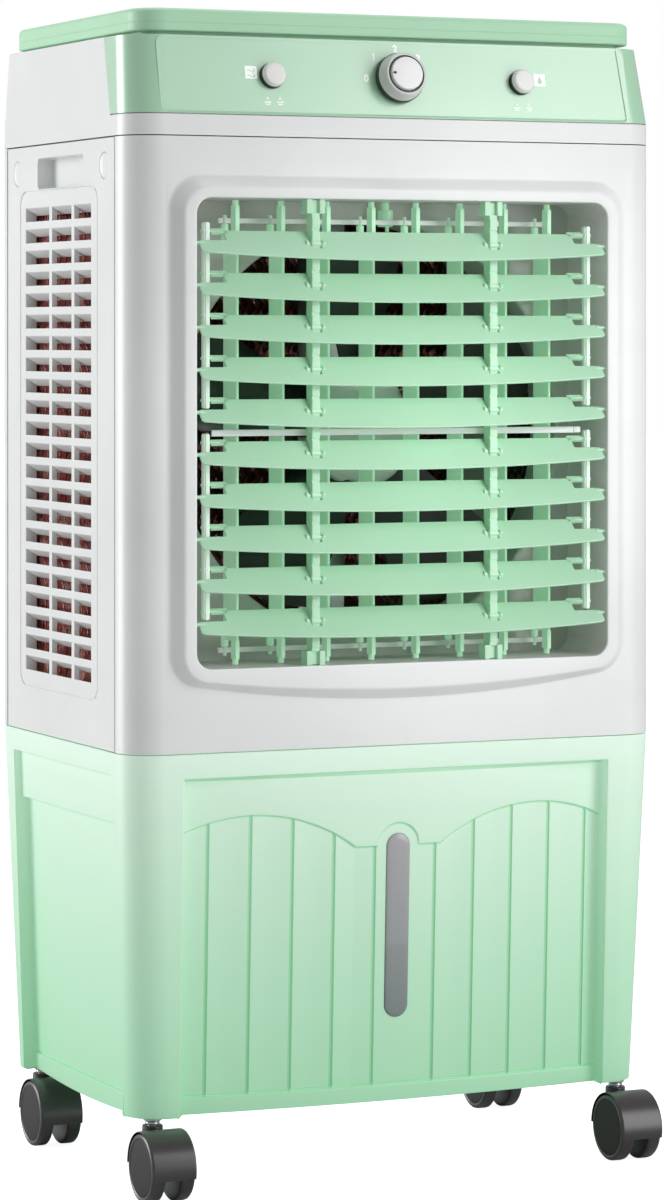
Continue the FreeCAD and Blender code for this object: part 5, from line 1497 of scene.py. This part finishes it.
one_of_row = one_of_row_tree()
for row in range(BLADES):
    group, count = ("lower", GROUP - row) if row < GROUP else ("upper", row - GROUP + 1)
    node = f"{group}_blade_{count}"
    mesh = grown(one_of_row, one_blade.copy(), Up=BLADE_PITCH, Forward=BLADE_Y, Middle=OUTLET_Z, Index=row,
                 Count=BLADES, Tilt=math.radians(BLADE_TILT), Material=mint_blade)
    blade = Shell().add(mesh).finish(node + "_sheet", mint_blade, smooth=35.0, weld=0.0)
    place(blade, frame_body[node], "mint_abs", node)

# %% [markdown]
# ## Swing vanes
# Behind the blades stand eight upright vanes that steer the air left and right. Each is a thin plate on two
# stems; two white rods, one above and one below, tie them together so that one small motor swings them all.
# The tree of the blades serves again, with its row running across.

# %% Vanes
VANES, VANE_PITCH, VANE_Y = 8, 0.038, MID_Y - 0.128
VANE_LOW, VANE_HIGH, RAIL_LOW, RAIL_HIGH = 0.419, 0.732, 0.405, 0.7515
VANE_HALF_T, VANE_FRONT, VANE_REAR, ROD_ARM = 0.0012, -0.0046, 0.0224, 0.021
VANE_ENDS = ((VANE_HIGH, 1, RAIL_HIGH), (VANE_LOW, -1, RAIL_LOW))


def vane_mesh():
    """One vane about its own stem line: x is across, y runs back, z is the real height."""
    shell = Shell()
    right = [(0.0007, VANE_FRONT), (VANE_HALF_T, -0.004), (VANE_HALF_T, 0.02), (0.0006, VANE_REAR)]
    left = [(-x, y) for x, y in reversed(right)]
    section = left[-2:] + right + left[:-2]
    low, high = shell.rings([[(x * s, y * s, z) for x, y in section] for s, z in
                             ((0.97, VANE_LOW), (1.0, VANE_LOW + 0.0006), (1.0, VANE_HIGH - 0.0006),
                              (0.97, VANE_HIGH))])
    shell.cap(low)
    shell.cap(high)
    boss = [(0, NEARLY_ZERO), (0.0006, 0.0026), (0.0012, 0.003), (0.0151, 0.003), (0.0155, 0.0026),
            (0.0155, 0.0015), (0.0222, 0.0015), (0.0225, 0.0012), (0.0225, NEARLY_ZERO)]
    for end, out, rail in VANE_ENDS:
        stop = rail - out * 0.0005
        z0, z1 = sorted((end - out * 0.001, stop))
        shell.box((-0.00165, VANE_FRONT, z0), (0.00165, 0.005, z1))
        shell.turned(pin(0.0052, 0.0025, (0.0004, 0.0003)), (0, 0, stop - out * 0.001), (0, 0, out), 18)
        shell.turned(boss, (0, ROD_ARM, end - out * 0.01), (0, 0, out), 18)
    return shell.bare_mesh("vane")


one_vane = vane_mesh()
for index in range(VANES):
    node = f"vane_{index + 1}"
    mesh = grown(one_of_row, one_vane.copy(), Across=VANE_PITCH, Forward=VANE_Y, Index=index, Count=VANES,
                 Material=mint_vane)
    vane = Shell().add(mesh).finish(node + "_plate", mint_vane, bevel=0.0003, smooth=35.0, weld=0.0)
    place(vane, frame_body[node], "mint_abs", node)

# %% [markdown]
# ## Fixed grid, tie bars and rods
# The grid's two ribs stand between posts at the outlet's lower and upper edge and carry the blades' pins;
# the row of small teeth on their front comes from the slat tree. They are plain moulded bars, so each is
# made of boxes and pins, and a bevel softens the edges.

# %% Grid
RIB_FRONT, RIB_BACK = MID_Y - 0.1506, MID_Y - 0.139
POST_HEIGHT, TOOTH_PITCH, TEETH = 0.011, BLADE_PITCH / 3, 31


def row_height(row):
    """Height of a blade's pivot, counted from the lowest blade."""
    return OUTLET_Z + BLADE_PITCH * (row - (BLADES - 1) / 2)


def softened(shell, name, material, width=0.0005):
    return shell.finish(name, material, bevel=width, weld=0.0)


def grid_piece():
    shell = Shell()
    for x in (-RIB_X, RIB_X):
        low, high = OPEN_LOW + 0.0105, OPEN_HIGH - 0.0105
        shell.box((x - 0.00325, RIB_FRONT + 0.0009, low), (x + 0.00325, RIB_BACK - 0.0002, high))
        for z0, z1 in ((OPEN_LOW, OPEN_LOW + POST_HEIGHT), (OPEN_HIGH - POST_HEIGHT, OPEN_HIGH)):
            shell.box((x - 0.0034, RIB_FRONT + 0.003, z0 + 0.0004),
                      (x + 0.0034, RIB_BACK - 0.0004, z1 - 0.0004))
            for post in (-1, 1):
                x0, x1 = sorted((x + post * 0.0032, x + post * 0.0075))
                shell.box((x0, RIB_FRONT, z0), (x1, RIB_BACK, z1))
        for row in range(BLADES):
            boss = pin(0.0076, 0.0034, (0.0004, 0.0004), (0.0004, 0.0004))
            shell.turned(boss, (x - 0.0038, BLADE_Y, row_height(row)), (1, 0, 0), 18)
        teeth = grown(slat_bank, Length=0.0064, Depth=0.0016, Face=0.0086, Drop=0.0, Pitch=TOOTH_PITCH,
                      Count=TEETH, Material=mint_blade)
        first = Vector((x, RIB_FRONT + 0.0008, OUTLET_Z + TEETH // 2 * TOOTH_PITCH))
        shell.add(teeth, Matrix.Translation(first))
    return softened(shell, "louvre_grid", mint_blade)


place(grid_piece(), frame_body["louvre_frame"], "mint_abs", "louvre_frame")

# %% [markdown]
# A pale bar crosses behind the two ribs at half height, with a small foot at each end. The tie bars hang on
# the pins of the blades' arms, one on each side of each group, and small bosses mark where the pins go
# through.

# %% Cross bar and tie bars
CROSS_FRONT, CROSS_BACK, CROSS_HALF, CROSS_HALF_T = MID_Y - 0.1392, MID_Y - 0.1365, 0.157, 0.0025
TIE_IN, TIE_OUT = 0.1595, 0.1645


def cross_bar_piece():
    shell = Shell()
    shell.box((-CROSS_HALF, CROSS_FRONT, OUTLET_Z - CROSS_HALF_T),
              (CROSS_HALF, CROSS_BACK, OUTLET_Z + CROSS_HALF_T))
    for side in (-1, 1):
        x0, x1 = sorted((side * (CROSS_HALF - 0.006), side * CROSS_HALF))
        shell.box((x0, CROSS_FRONT - 0.0006, OUTLET_Z - 0.0024), (x1, CROSS_BACK - 0.0002, OUTLET_Z + 0.0024))
    return softened(shell, "cross_bar", white_abs)


def tie_bar_piece(node, rows):
    low, high = span(node)
    shell = Shell()
    rise = TIE_ARM * math.sin(math.radians(BLADE_TILT))
    for side in (-1, 1):
        x0, x1 = sorted((side * TIE_IN, side * TIE_OUT))
        shell.box((x0 + 0.0012, low.y, low.z), (x1 - 0.0012, high.y, high.z))
        shell.box((x0, low.y + 0.0014, low.z + 0.0006), (x1, high.y - 0.0014, high.z - 0.0006))
        for row in rows:
            boss = pin(0.005, 0.003, (0.0003, 0.0004), (0.0003, 0.0004))
            shell.turned(boss, (x0, (low.y + high.y) / 2, row_height(row) + rise), (1, 0, 0), 18)
    # The tie bars take the palest mint: a painted highlight.
    place(softened(shell, node + "_bars", mint_pale, 0.0004), frame_body[node], "mint_abs", node)


place(cross_bar_piece(), frame_body["louvre_frame"], "white_abs")
tie_bar_piece("upper_tie_bars", range(GROUP, BLADES))
tie_bar_piece("lower_tie_bars", range(GROUP))

# %% [markdown]
# The vanes' rods are flat bars with a ring at every vane, and the upper one has a lug for the crank. The
# crank is a drum with a peg off its centre, on the swing motor's shaft.

# %% Tie rods and crank
CRANK_X, CRANK_Y, CRANK_LOW, CRANK_THROW = 0.009, MID_Y - 0.093, 0.737, 0.0035


def tie_rod_piece():
    shell = Shell()
    y, last = VANE_Y + ROD_ARM, VANE_PITCH * (VANES - 1) / 2
    for end, out, _ in VANE_ENDS:
        z0, z1 = sorted((end + out * 0.006, end + out * 0.01))
        shell.box((-last - 0.006, y - 0.002, z0), (last + 0.006, y + 0.002, z1))
        for index in range(VANES):
            ring = [(0, 0.0028), (0.0004, 0.003), (0.0036, 0.003), (0.004, 0.0028)]
            shell.turned(ring, (VANE_PITCH * index - last, y, z0), (0, 0, 1), 20)
    shell.box((CRANK_X - 0.004, y + 0.0018, VANE_HIGH + 0.006),
              (CRANK_X + 0.004, y + 0.006, VANE_HIGH + 0.01))
    return softened(shell, "tie_rods", white_abs, 0.0004)


def crank_piece():
    shell = Shell()
    drum = [(0, NEARLY_ZERO), (0, 0.0054), (0.0006, 0.006), (0.0124, 0.006), (0.013, 0.0054),
            (0.013, 0.003), (0.0265, 0.003), (0.027, 0.0026), (0.027, NEARLY_ZERO)]
    shell.turned(drum, (CRANK_X, CRANK_Y, CRANK_LOW), (0, 0, 1), 32)
    peg = pin(0.0042, 0.0015, far=None)
    shell.turned(peg, (CRANK_X, CRANK_Y - CRANK_THROW, CRANK_LOW - 0.004), (0, 0, 1), 16)
    return shell.finish("crank_drum", mint_vane, smooth=45.0, weld=0.0)


place(tie_rod_piece(), frame_body["vane_tie_rods"], "white_abs", "vane_tie_rods")
place(crank_piece(), frame_body["swing_crank"], "mint_abs", "swing_crank")

# %% [markdown]
# ## Fan
# The fan blows forward through a round duct. Its five smoky blades are thin, twisted and slightly cupped; a
# node tree repeats one blade round the hub. The blade is a grid of points: rows run out along it, and each
# row turns flatter and grows wider until the tip is rounded off.

# %% Fan wheel
smoky_blade = moulded("smoky_blade", srgb(26, 26, 27), roughness=0.3, coat=0.3)
hub_white = moulded("hub_white", srgb(206, 208, 206), roughness=0.35)
FAN_FRONT, FAN_MIDDLE, FAN_BLADES = span("fan_impeller")[0].y, MID_Y - 0.062, 5
ROOT_R, BLADE_REACH, ROUND_FROM, CUP = 0.042, 0.1135, 0.82, 0.002


def fan_blade_mesh():
    """One blade about the fan's axis; u runs out along the blade and v across it."""
    shell = Shell()
    rows = []
    for u in (i / 14 for i in range(15)):
        r = ROOT_R + BLADE_REACH * u
        rounding = math.sqrt(max(0, 1 - max(0, (u - ROUND_FROM) / (1 - ROUND_FROM)) ** 2.4))
        half = (0.024 + 0.026 * u) * (rounding * 0.62 + 0.38 if u > ROUND_FROM else 1.0)
        pitch = math.radians(38 - 22 * u)
        row = []
        for v in (2 * k / 12 - 1 for k in range(13)):
            across, deep = half * v * math.cos(pitch), half * v * math.sin(pitch) - CUP * (1 - v * v)
            row.append((r * math.sin(across / r), deep, r * math.cos(across / r)))
        rows.append(shell.ring(row))
    for one, two in zip(rows, rows[1:]):
        shell.bridge(one, two, closed=False)
    return shell.bare_mesh("fan_blade", outward=False)


def ring_of_tree():
    """Repeats the base mesh evenly round the Y axis."""
    tree, take = new_tree("ring_of", ("Forward", "Middle"), ("Count",))
    centre = vector(tree, 0.0, take["Forward"], take["Middle"])
    spots = wired(tree, "GeometryNodeMeshLine",
                  {"Count": take["Count"], "Start Location": centre, "Offset": (0, 0, 0)})
    step = maths(tree, "DIVIDE", 2 * math.pi, take["Count"])
    angle = maths(tree, "MULTIPLY", wired(tree, "GeometryNodeInputIndex"), step)
    return close_tree(tree, take, repeated(tree, take["Geometry"], spots, vector(tree, y=angle)))


def fan_hub_piece():
    shell = Shell()
    bowl = [(0, 0.0001), (0.0004, 0.014), (0.0014, 0.016), (0.0016, 0.028), (0.0036, 0.038),
            (0.007, 0.044), (0.01, 0.0458), (0.031, 0.046), (0.0318, 0.045), (0.0318, 0.042),
            (0.011, 0.04), (0.01, 0.0001)]
    socket = [(0, 0.0001), (0, 0.0034), (0.054, 0.004), (0.0548, 0.0034), (0.0548, 0.0001)]
    for profile, depth, steps in ((bowl, 0.0001, 64), (socket, 0.002, 24)):
        shell.turned(profile, (0, FAN_FRONT + depth, OUTLET_Z), (0, 1, 0), steps)
    return shell.finish("fan_hub", hub_white, weld=0.0)


blades = grown(ring_of_tree(), fan_blade_mesh(), Forward=FAN_MIDDLE, Middle=OUTLET_Z, Count=FAN_BLADES,
               Material=smoky_blade)
wheel = Shell().add(blades).finish("fan_blades", smoky_blade, thickness=0.0014, smooth=50.0)
place(wheel, frame_body["fan_impeller"], "grey_abs", "fan_impeller")
place(fan_hub_piece(), frame_body["fan_impeller"], "grey_abs")

# %% [markdown]
# The shroud is a plate with a rolled mouth that leads into the duct. The motor behind the fan is a painted
# can; its cooling ribs are grooves in the lathe profile, added by a loop.

# %% Shroud and motor
duct_grey = moulded("duct_grey", srgb(196, 196, 192), roughness=0.45)
RIBS, RIB_START, RIB_PITCH = 6, 0.012, 0.0055
CAN_R, CAN_GROOVE_R = 0.045, 0.0434


def shroud_piece():
    low, high = span("fan_shroud")
    shell = Shell()
    plate_edge = rounded_outline(low.x, high.x, low.z, high.z, (0.008,) * 4, spans=4)
    rim = [[(u * s, low.y + d, (v - OUTLET_Z) * s + OUTLET_Z) for u, v in plate_edge]
           for s, d in ((1.0, 0.0028), (1.0, 0.0004), (0.998, 0))]
    _, border = shell.rings(rim)
    steps = ((0.1668, 0), (0.165, 0.0003), (0.1638, 0.0014), (0.1632, 0.003), (0.1632, 0.0435))
    mouth, _ = round_hole(shell, lambda x, z, depth: (x, low.y + depth, z), 0, OUTLET_Z, steps, 96)
    shell.fill_between(border, [mouth])
    return shell.finish("shroud", duct_grey, thickness=0.002)


def motor_piece():
    low, high = span("fan_motor")
    length = high.y - low.y
    profile = [(0, 0.0045), (0, 0.0112), (0.0008, 0.012), (0.004, 0.012), (0.0041, 0.038),
               (0.006, 0.043), (0.009, CAN_R)]
    for start in (RIB_START + i * RIB_PITCH for i in range(RIBS)):
        profile += [(start, CAN_R), (start + 0.0006, CAN_GROOVE_R), (start + 0.003, CAN_GROOVE_R),
                    (start + 0.0036, CAN_R)]
    profile += [(length - 0.006, CAN_R), (length - 0.002, 0.043), (length, 0.038), (length, 0.0001)]
    shell = Shell()
    shell.turned(profile, (0, low.y, OUTLET_Z), (0, 1, 0), 64)
    return shell.finish("motor_can", motor_enamel, smooth=35.0, weld=0.0)


place(shroud_piece(), "cabinet", "grey_abs", "fan_shroud")
place(motor_piece(), "cabinet", "motor_steel", "fan_motor")

# %% [markdown]
# ## Casters
# Each caster is a swivelling hood over twin wheels that share one axle. The hood is an arch with a solid
# web in its middle; it ends level above the floor so that the wheels show below. A wheel has a rounded
# tread and a slightly domed face of a duller black.

# %% Caster parts
CASTER_X, CASTER_Y, TRAIL, AXLE_Z = 0.198, 0.121, 0.019, 0.026
HOOD_HALF, WEB_HALF, WEB_R, HOOD_DROOP = 0.0175, 0.0057, 0.0267, -12.6


def caster_hood_piece(node, x, stem_y):
    shell = Shell()
    y = stem_y - TRAIL
    inner, core = 0.02675, 0.0266
    profile = [(-HOOD_HALF, inner), (-HOOD_HALF, 0.027), (-HOOD_HALF + 0.0006, 0.0274),
               (-HOOD_HALF + 0.0014, 0.0275), (HOOD_HALF - 0.0014, 0.0275), (HOOD_HALF - 0.0006, 0.0274),
               (HOOD_HALF, 0.027), (HOOD_HALF, inner), (0, core)]
    steps, start, end = 44, math.radians(HOOD_DROOP), math.radians(180.0)
    sweep = [start + (end - start) * i / steps for i in range(steps + 1)]
    lines = [shell.ring([(x + a, y - r * math.cos(t), AXLE_Z + r * math.sin(t)) for t in sweep])
             for a, r in profile]
    for one, two in zip(lines, lines[1:] + lines[:1]):
        shell.bridge(one, two, closed=False)
    shell.cap([line[0] for line in lines])
    shell.cap([line[-1] for line in lines])
    web = [(y - WEB_R * math.cos(t), AXLE_Z + WEB_R * math.sin(t)) for t in sweep]
    web += [(y + 0.0205, AXLE_Z - 0.0002), (y + 0.0205, AXLE_Z - 0.0058)]
    first, last = shell.rings([[(x + a, u, v) for u, v in web] for a in (-WEB_HALF, WEB_HALF)])
    shell.cap(first)
    shell.cap(last)
    boss = [(0, 0.0041), (0, 0.008), (0.02, 0.008), (0.024, 0.0078), (0.0245, 0.0073),
            (0.0245, 0.0041)]
    shell.turned(boss, (x, stem_y, AXLE_Z + 0.004), (0, 0, 1), 32)
    place(shell.finish(node + "_arch", black_nylon, weld=0.0), node, "black_nylon", node)


def caster_wheels_piece(node, x, stem_y):
    shell = Shell()
    origin = (x, stem_y - TRAIL, AXLE_Z)
    tread = [(0.0062, 0.0001), (0.0062, 0.0236), (0.0065, 0.025), (0.0073, 0.0258), (0.0086, 0.026),
             (0.0148, 0.026), (0.0162, 0.0257), (0.0171, 0.0249), (0.0175, 0.0237), (0.0174, 0.0228),
             (0.0168, 0.0221)]
    disc = [(0.0168, 0.0221), (0.0166, 0.0216), (0.0168, 0.0212), (0.0171, 0.0195), (0.0174, 0.012),
            (0.0175, 0.0001)]
    for side in (-1, 1):
        shell.turned(tread, origin, (side, 0, 0), 72)
        shell.turned(disc, origin, (side, 0, 0), 72, material=1)
    axle = [(-0.0061, 0.0001), (-0.0061, 0.003), (0.0061, 0.003), (0.0061, 0.0001)]
    shell.turned(axle, origin, (1, 0, 0), 20)
    piece = shell.finish(node + "_pair", [black_nylon, disc_nylon], smooth=50.0, weld=0.0)
    place(piece, node, "black_nylon", node)


for across, sx in (("left", -1), ("right", 1)):
    for along, sy in (("front", -1), ("rear", 1)):
        stem_y = MID_Y + sy * CASTER_Y
        caster_hood_piece(f"caster_hood_{along}_{across}", sx * CASTER_X, stem_y)
        caster_wheels_piece(f"caster_wheels_{along}_{across}", sx * CASTER_X, stem_y)

# %% [markdown]
# A steel stem with a rolled collar joins each caster to the tank. The stems stand still, so all four are
# one piece: a node tree repeats one stem at the corners of a two-by-two grid.

# %% Caster stems
STEM_FOOT = 0.0361


def stem_mesh():
    """Steel pin with a rolled collar under the tank; its own z is height above the pin's lower end."""
    shell = Shell()
    profile = [(0, 0.0001), (0, 0.0034), (0.0006, 0.004), (0.0189, 0.004), (0.019, 0.0049),
               (0.0196, 0.0055), (0.0206, 0.0055), (0.0212, 0.005), (0.0216, 0.0062), (0.0222, 0.007),
               (0.023, 0.007), (0.0234, 0.0064), (0.0235, 0.004), (0.0485, 0.004), (0.0493, 0.003),
               (0.0494, 0.0001)]
    shell.turned(profile, (0, 0, 0), (0, 0, 1), 32)
    return shell.bare_mesh("stem")


def four_corners_tree():
    """Repeats the base mesh at the four corners of a rectangle."""
    tree, take = new_tree("four_corners", ("Width", "Length", "Forward", "Height"))
    grid = wired(tree, "GeometryNodeMeshGrid", {"Size X": take["Width"], "Size Y": take["Length"],
                                                "Vertices X": 2, "Vertices Y": 2})
    moved = wired(tree, "GeometryNodeSetPosition",
                  {"Geometry": grid, "Offset": vector(tree, 0.0, take["Forward"], take["Height"])})
    return close_tree(tree, take, repeated(tree, take["Geometry"], moved))


stems = grown(four_corners_tree(), stem_mesh(), Width=2 * CASTER_X, Length=2 * CASTER_Y, Forward=MID_Y,
              Height=STEM_FOOT, Material=zinc_steel)
place(Shell().add(stems).finish("stems", zinc_steel, weld=0.0), "cabinet", "zinc_steel", "caster_stems")

# %% [markdown]
# ## Filler flap and drain
# Both are on the back of the tank. The flap turns on two pins along its lower edge and has a small finger
# tab; the drain is a screwed plug with a raised grip.

# %% Flap and plug
FLAP_HALF, FLAP_LOW, FLAP_TOP, FLAP_RADIUS = 0.052, 0.29, 0.326, 0.002
FLAP_STEPS = ((0.0006, 0), (0, 0.0005), (0, 0.002), (0.0006, 0.0025), (0.003, 0.0025),
              (0.0036, 0.0021), (0.0044, 0.0021))


def flap_piece():
    back = span("fill_door")[0].y
    shell = Shell()
    outlines = []
    for inset, depth in FLAP_STEPS:
        flat = rounded_outline(-FLAP_HALF + inset, FLAP_HALF - inset, FLAP_LOW + inset, FLAP_TOP - inset,
                               (max(FLAP_RADIUS - inset, 0.0004),) * 4, steps=4, spans=4)
        outlines.append([(u, back + depth, v) for u, v in flat])
    inner, outer = shell.rings(outlines)
    shell.cap(inner)
    shell.cap(outer)
    shell.box((-0.01, back + 0.0019, FLAP_TOP - 0.005), (0.01, back + 0.0044, FLAP_TOP - 0.002))
    for side in (-1, 1):
        hinge = pin(0.005, 0.0012, None, (0.0004, 0.0004), core=0.0001)
        shell.turned(hinge, (side * 0.0494, back + 0.00125, FLAP_LOW + 0.0025), (side, 0, 0), 16)
    return softened(shell, "filler_flap", mint_tank, 0.0003)


def plug_piece():
    low, high = span("drain_plug")
    x, z, length = (low.x + high.x) / 2, (low.z + high.z) / 2, high.y - low.y
    shell = Shell()
    profile = [(0, 0.0001), (0, 0.0068), (0.0006, 0.0078), (length - 0.0052, 0.0078),
               (length - 0.005, 0.0114), (length - 0.0044, 0.012), (length - 0.0026, 0.012),
               (length - 0.0018, 0.0114), (length - 0.0018, 0.005), (length - 0.002, 0.0001)]
    shell.turned(profile, (x, low.y, z), (0, 1, 0), 48)
    shell.box((x - 0.0016, high.y - 0.002, z - 0.009), (x + 0.0016, high.y - 0.0001, z + 0.009))
    return softened(shell, "plug", grey_abs, 0.0003)


place(flap_piece(), frame_body["fill_door"], "mint_tank", "fill_door")
place(plug_piece(), "cabinet", "grey_abs", "drain_plug")

# %% [markdown]
# ## Studio
# The cooler stands on a plain pale floor. A broad soft lamp on the right front lights the outlet, a second
# one behind the left shoulder lights the side, and the rounded corner between them falls into a soft grey,
# which is what makes the white shell read as round.

# %% Floor and world
def pale_floor():
    """Wide floor that takes shadows and looks a little brighter to the camera than it is to the lamps."""
    bpy.ops.mesh.primitive_plane_add(size=40.0)
    floor = bpy.context.object
    floor.name = "studio_floor"
    finish = Finish("studio_floor")
    finish.tree.nodes.remove(finish.shader)
    ground = finish.node("ShaderNodeBsdfDiffuse", Color=(0.62, 0.62, 0.62, 1.0))
    glow = finish.node("ShaderNodeEmission", Strength=0.9)
    both = finish.node("ShaderNodeAddShader")
    finish.link(ground.outputs[0], both.inputs[0])
    finish.link(glow.outputs[0], both.inputs[1])
    path = finish.node("ShaderNodeLightPath")
    mix = finish.node("ShaderNodeMixShader")
    finish.link(path.outputs["Is Camera Ray"], mix.inputs[0])
    finish.link(ground.outputs[0], mix.inputs[1])
    finish.link(both.outputs[0], mix.inputs[2])
    finish.link(mix.outputs[0], finish.tree.nodes["Material Output"].inputs["Surface"])
    floor.data.materials.append(finish.material)


def pale_world(strength):
    """White surroundings, at full strength where they are seen directly or through clear plastic."""
    world = bpy.data.worlds.new("studio_world")
    scene.world = world
    world.use_nodes = True
    tree = world.node_tree
    background = set_up(tree.nodes["Background"], {"Color": (1, 1, 1, 1)})
    path = tree.nodes.new("ShaderNodeLightPath")
    seen = tree.nodes.new("ShaderNodeMath")
    seen.operation = "MAXIMUM"
    tree.links.new(path.outputs["Is Camera Ray"], seen.inputs[0])
    tree.links.new(path.outputs["Is Transmission Ray"], seen.inputs[1])
    level = set_up(tree.nodes.new("ShaderNodeMapRange"), {"To_Min": strength, "To_Max": 1.0})
    tree.links.new(seen.outputs[0], level.inputs["Value"])
    tree.links.new(level.outputs["Result"], background.inputs["Strength"])


WORLD_STRENGTH = 0.44
pale_floor()
pale_world(WORLD_STRENGTH)

# %% [markdown]
# Soft lamps are rectangles, as a studio's soft boxes are: the wider the lamp, the softer the shade it
# leaves. One narrow spot from the front reaches into the outlet, so that the vanes and the fan can be seen
# in it.

# %% Lamps
def hung(data, place, target):
    """Puts a lamp at a place and points it at a target."""
    lamp = bpy.data.objects.new(data.name, data)
    scene.collection.objects.link(lamp)
    lamp.location = place
    lamp.rotation_euler = (Vector(target) - Vector(place)).to_track_quat("-Z", "Y").to_euler()


def soft_lamp(name, place, target, size, watts):
    data = bpy.data.lights.new(name, "AREA")
    data.shape = "RECTANGLE"
    data.size, data.size_y = size
    data.energy = watts
    hung(data, place, target)


def narrow_lamp(name, place, target, degrees, watts):
    data = bpy.data.lights.new(name, "SPOT")
    data.spot_size, data.spot_blend, data.shadow_soft_size = math.radians(degrees), 0.6, 0.15
    data.energy = watts
    hung(data, place, target)


soft_lamp("lamp_front_right", (1.2, -1.75, 0.95), (0, 0, 0.6), (1.0, 2.1), 21.5)
soft_lamp("lamp_right_edge", (1.0, -0.85, 0.55), (0, -0.1, 0.5), (0.3, 1.4), 0.6)
soft_lamp("lamp_left_rear", (-2.6, 1.9, 0.9), (-0.2, 0, 0.5), (1.6, 2.2), 67.0)
soft_lamp("lamp_top", (0.1, 0.5, 2.5), (0, 0, 0.9), (1.2, 1.2), 13.0)
narrow_lamp("lamp_outlet", (0.9, -2.5, 1.5), (0.028, -0.14, 0.58), 7.2, 128.0)
scene.view_settings.view_transform = "Standard"

# %% [markdown]
# A long lens from well back keeps the cooler's uprights upright. The view is shifted down instead of
# tilted, as product photographers do, so that the sides don't lean.

# %% Camera
LENS, SHIFT, LOOK_DOWN, LOOK_RIGHT = 124.3, -0.2114, 0.18, 24.07
camera_data = bpy.data.cameras.new("studio_camera")
camera_data.lens = LENS
camera_data.shift_y = SHIFT
camera = bpy.data.objects.new("studio_camera", camera_data)
scene.collection.objects.link(camera)
camera.location = (-1.353, MID_Y - 3.04, 0.6537)
camera.rotation_euler = (math.radians(90.0 - LOOK_DOWN), 0, math.radians(-LOOK_RIGHT))
scene.camera = camera
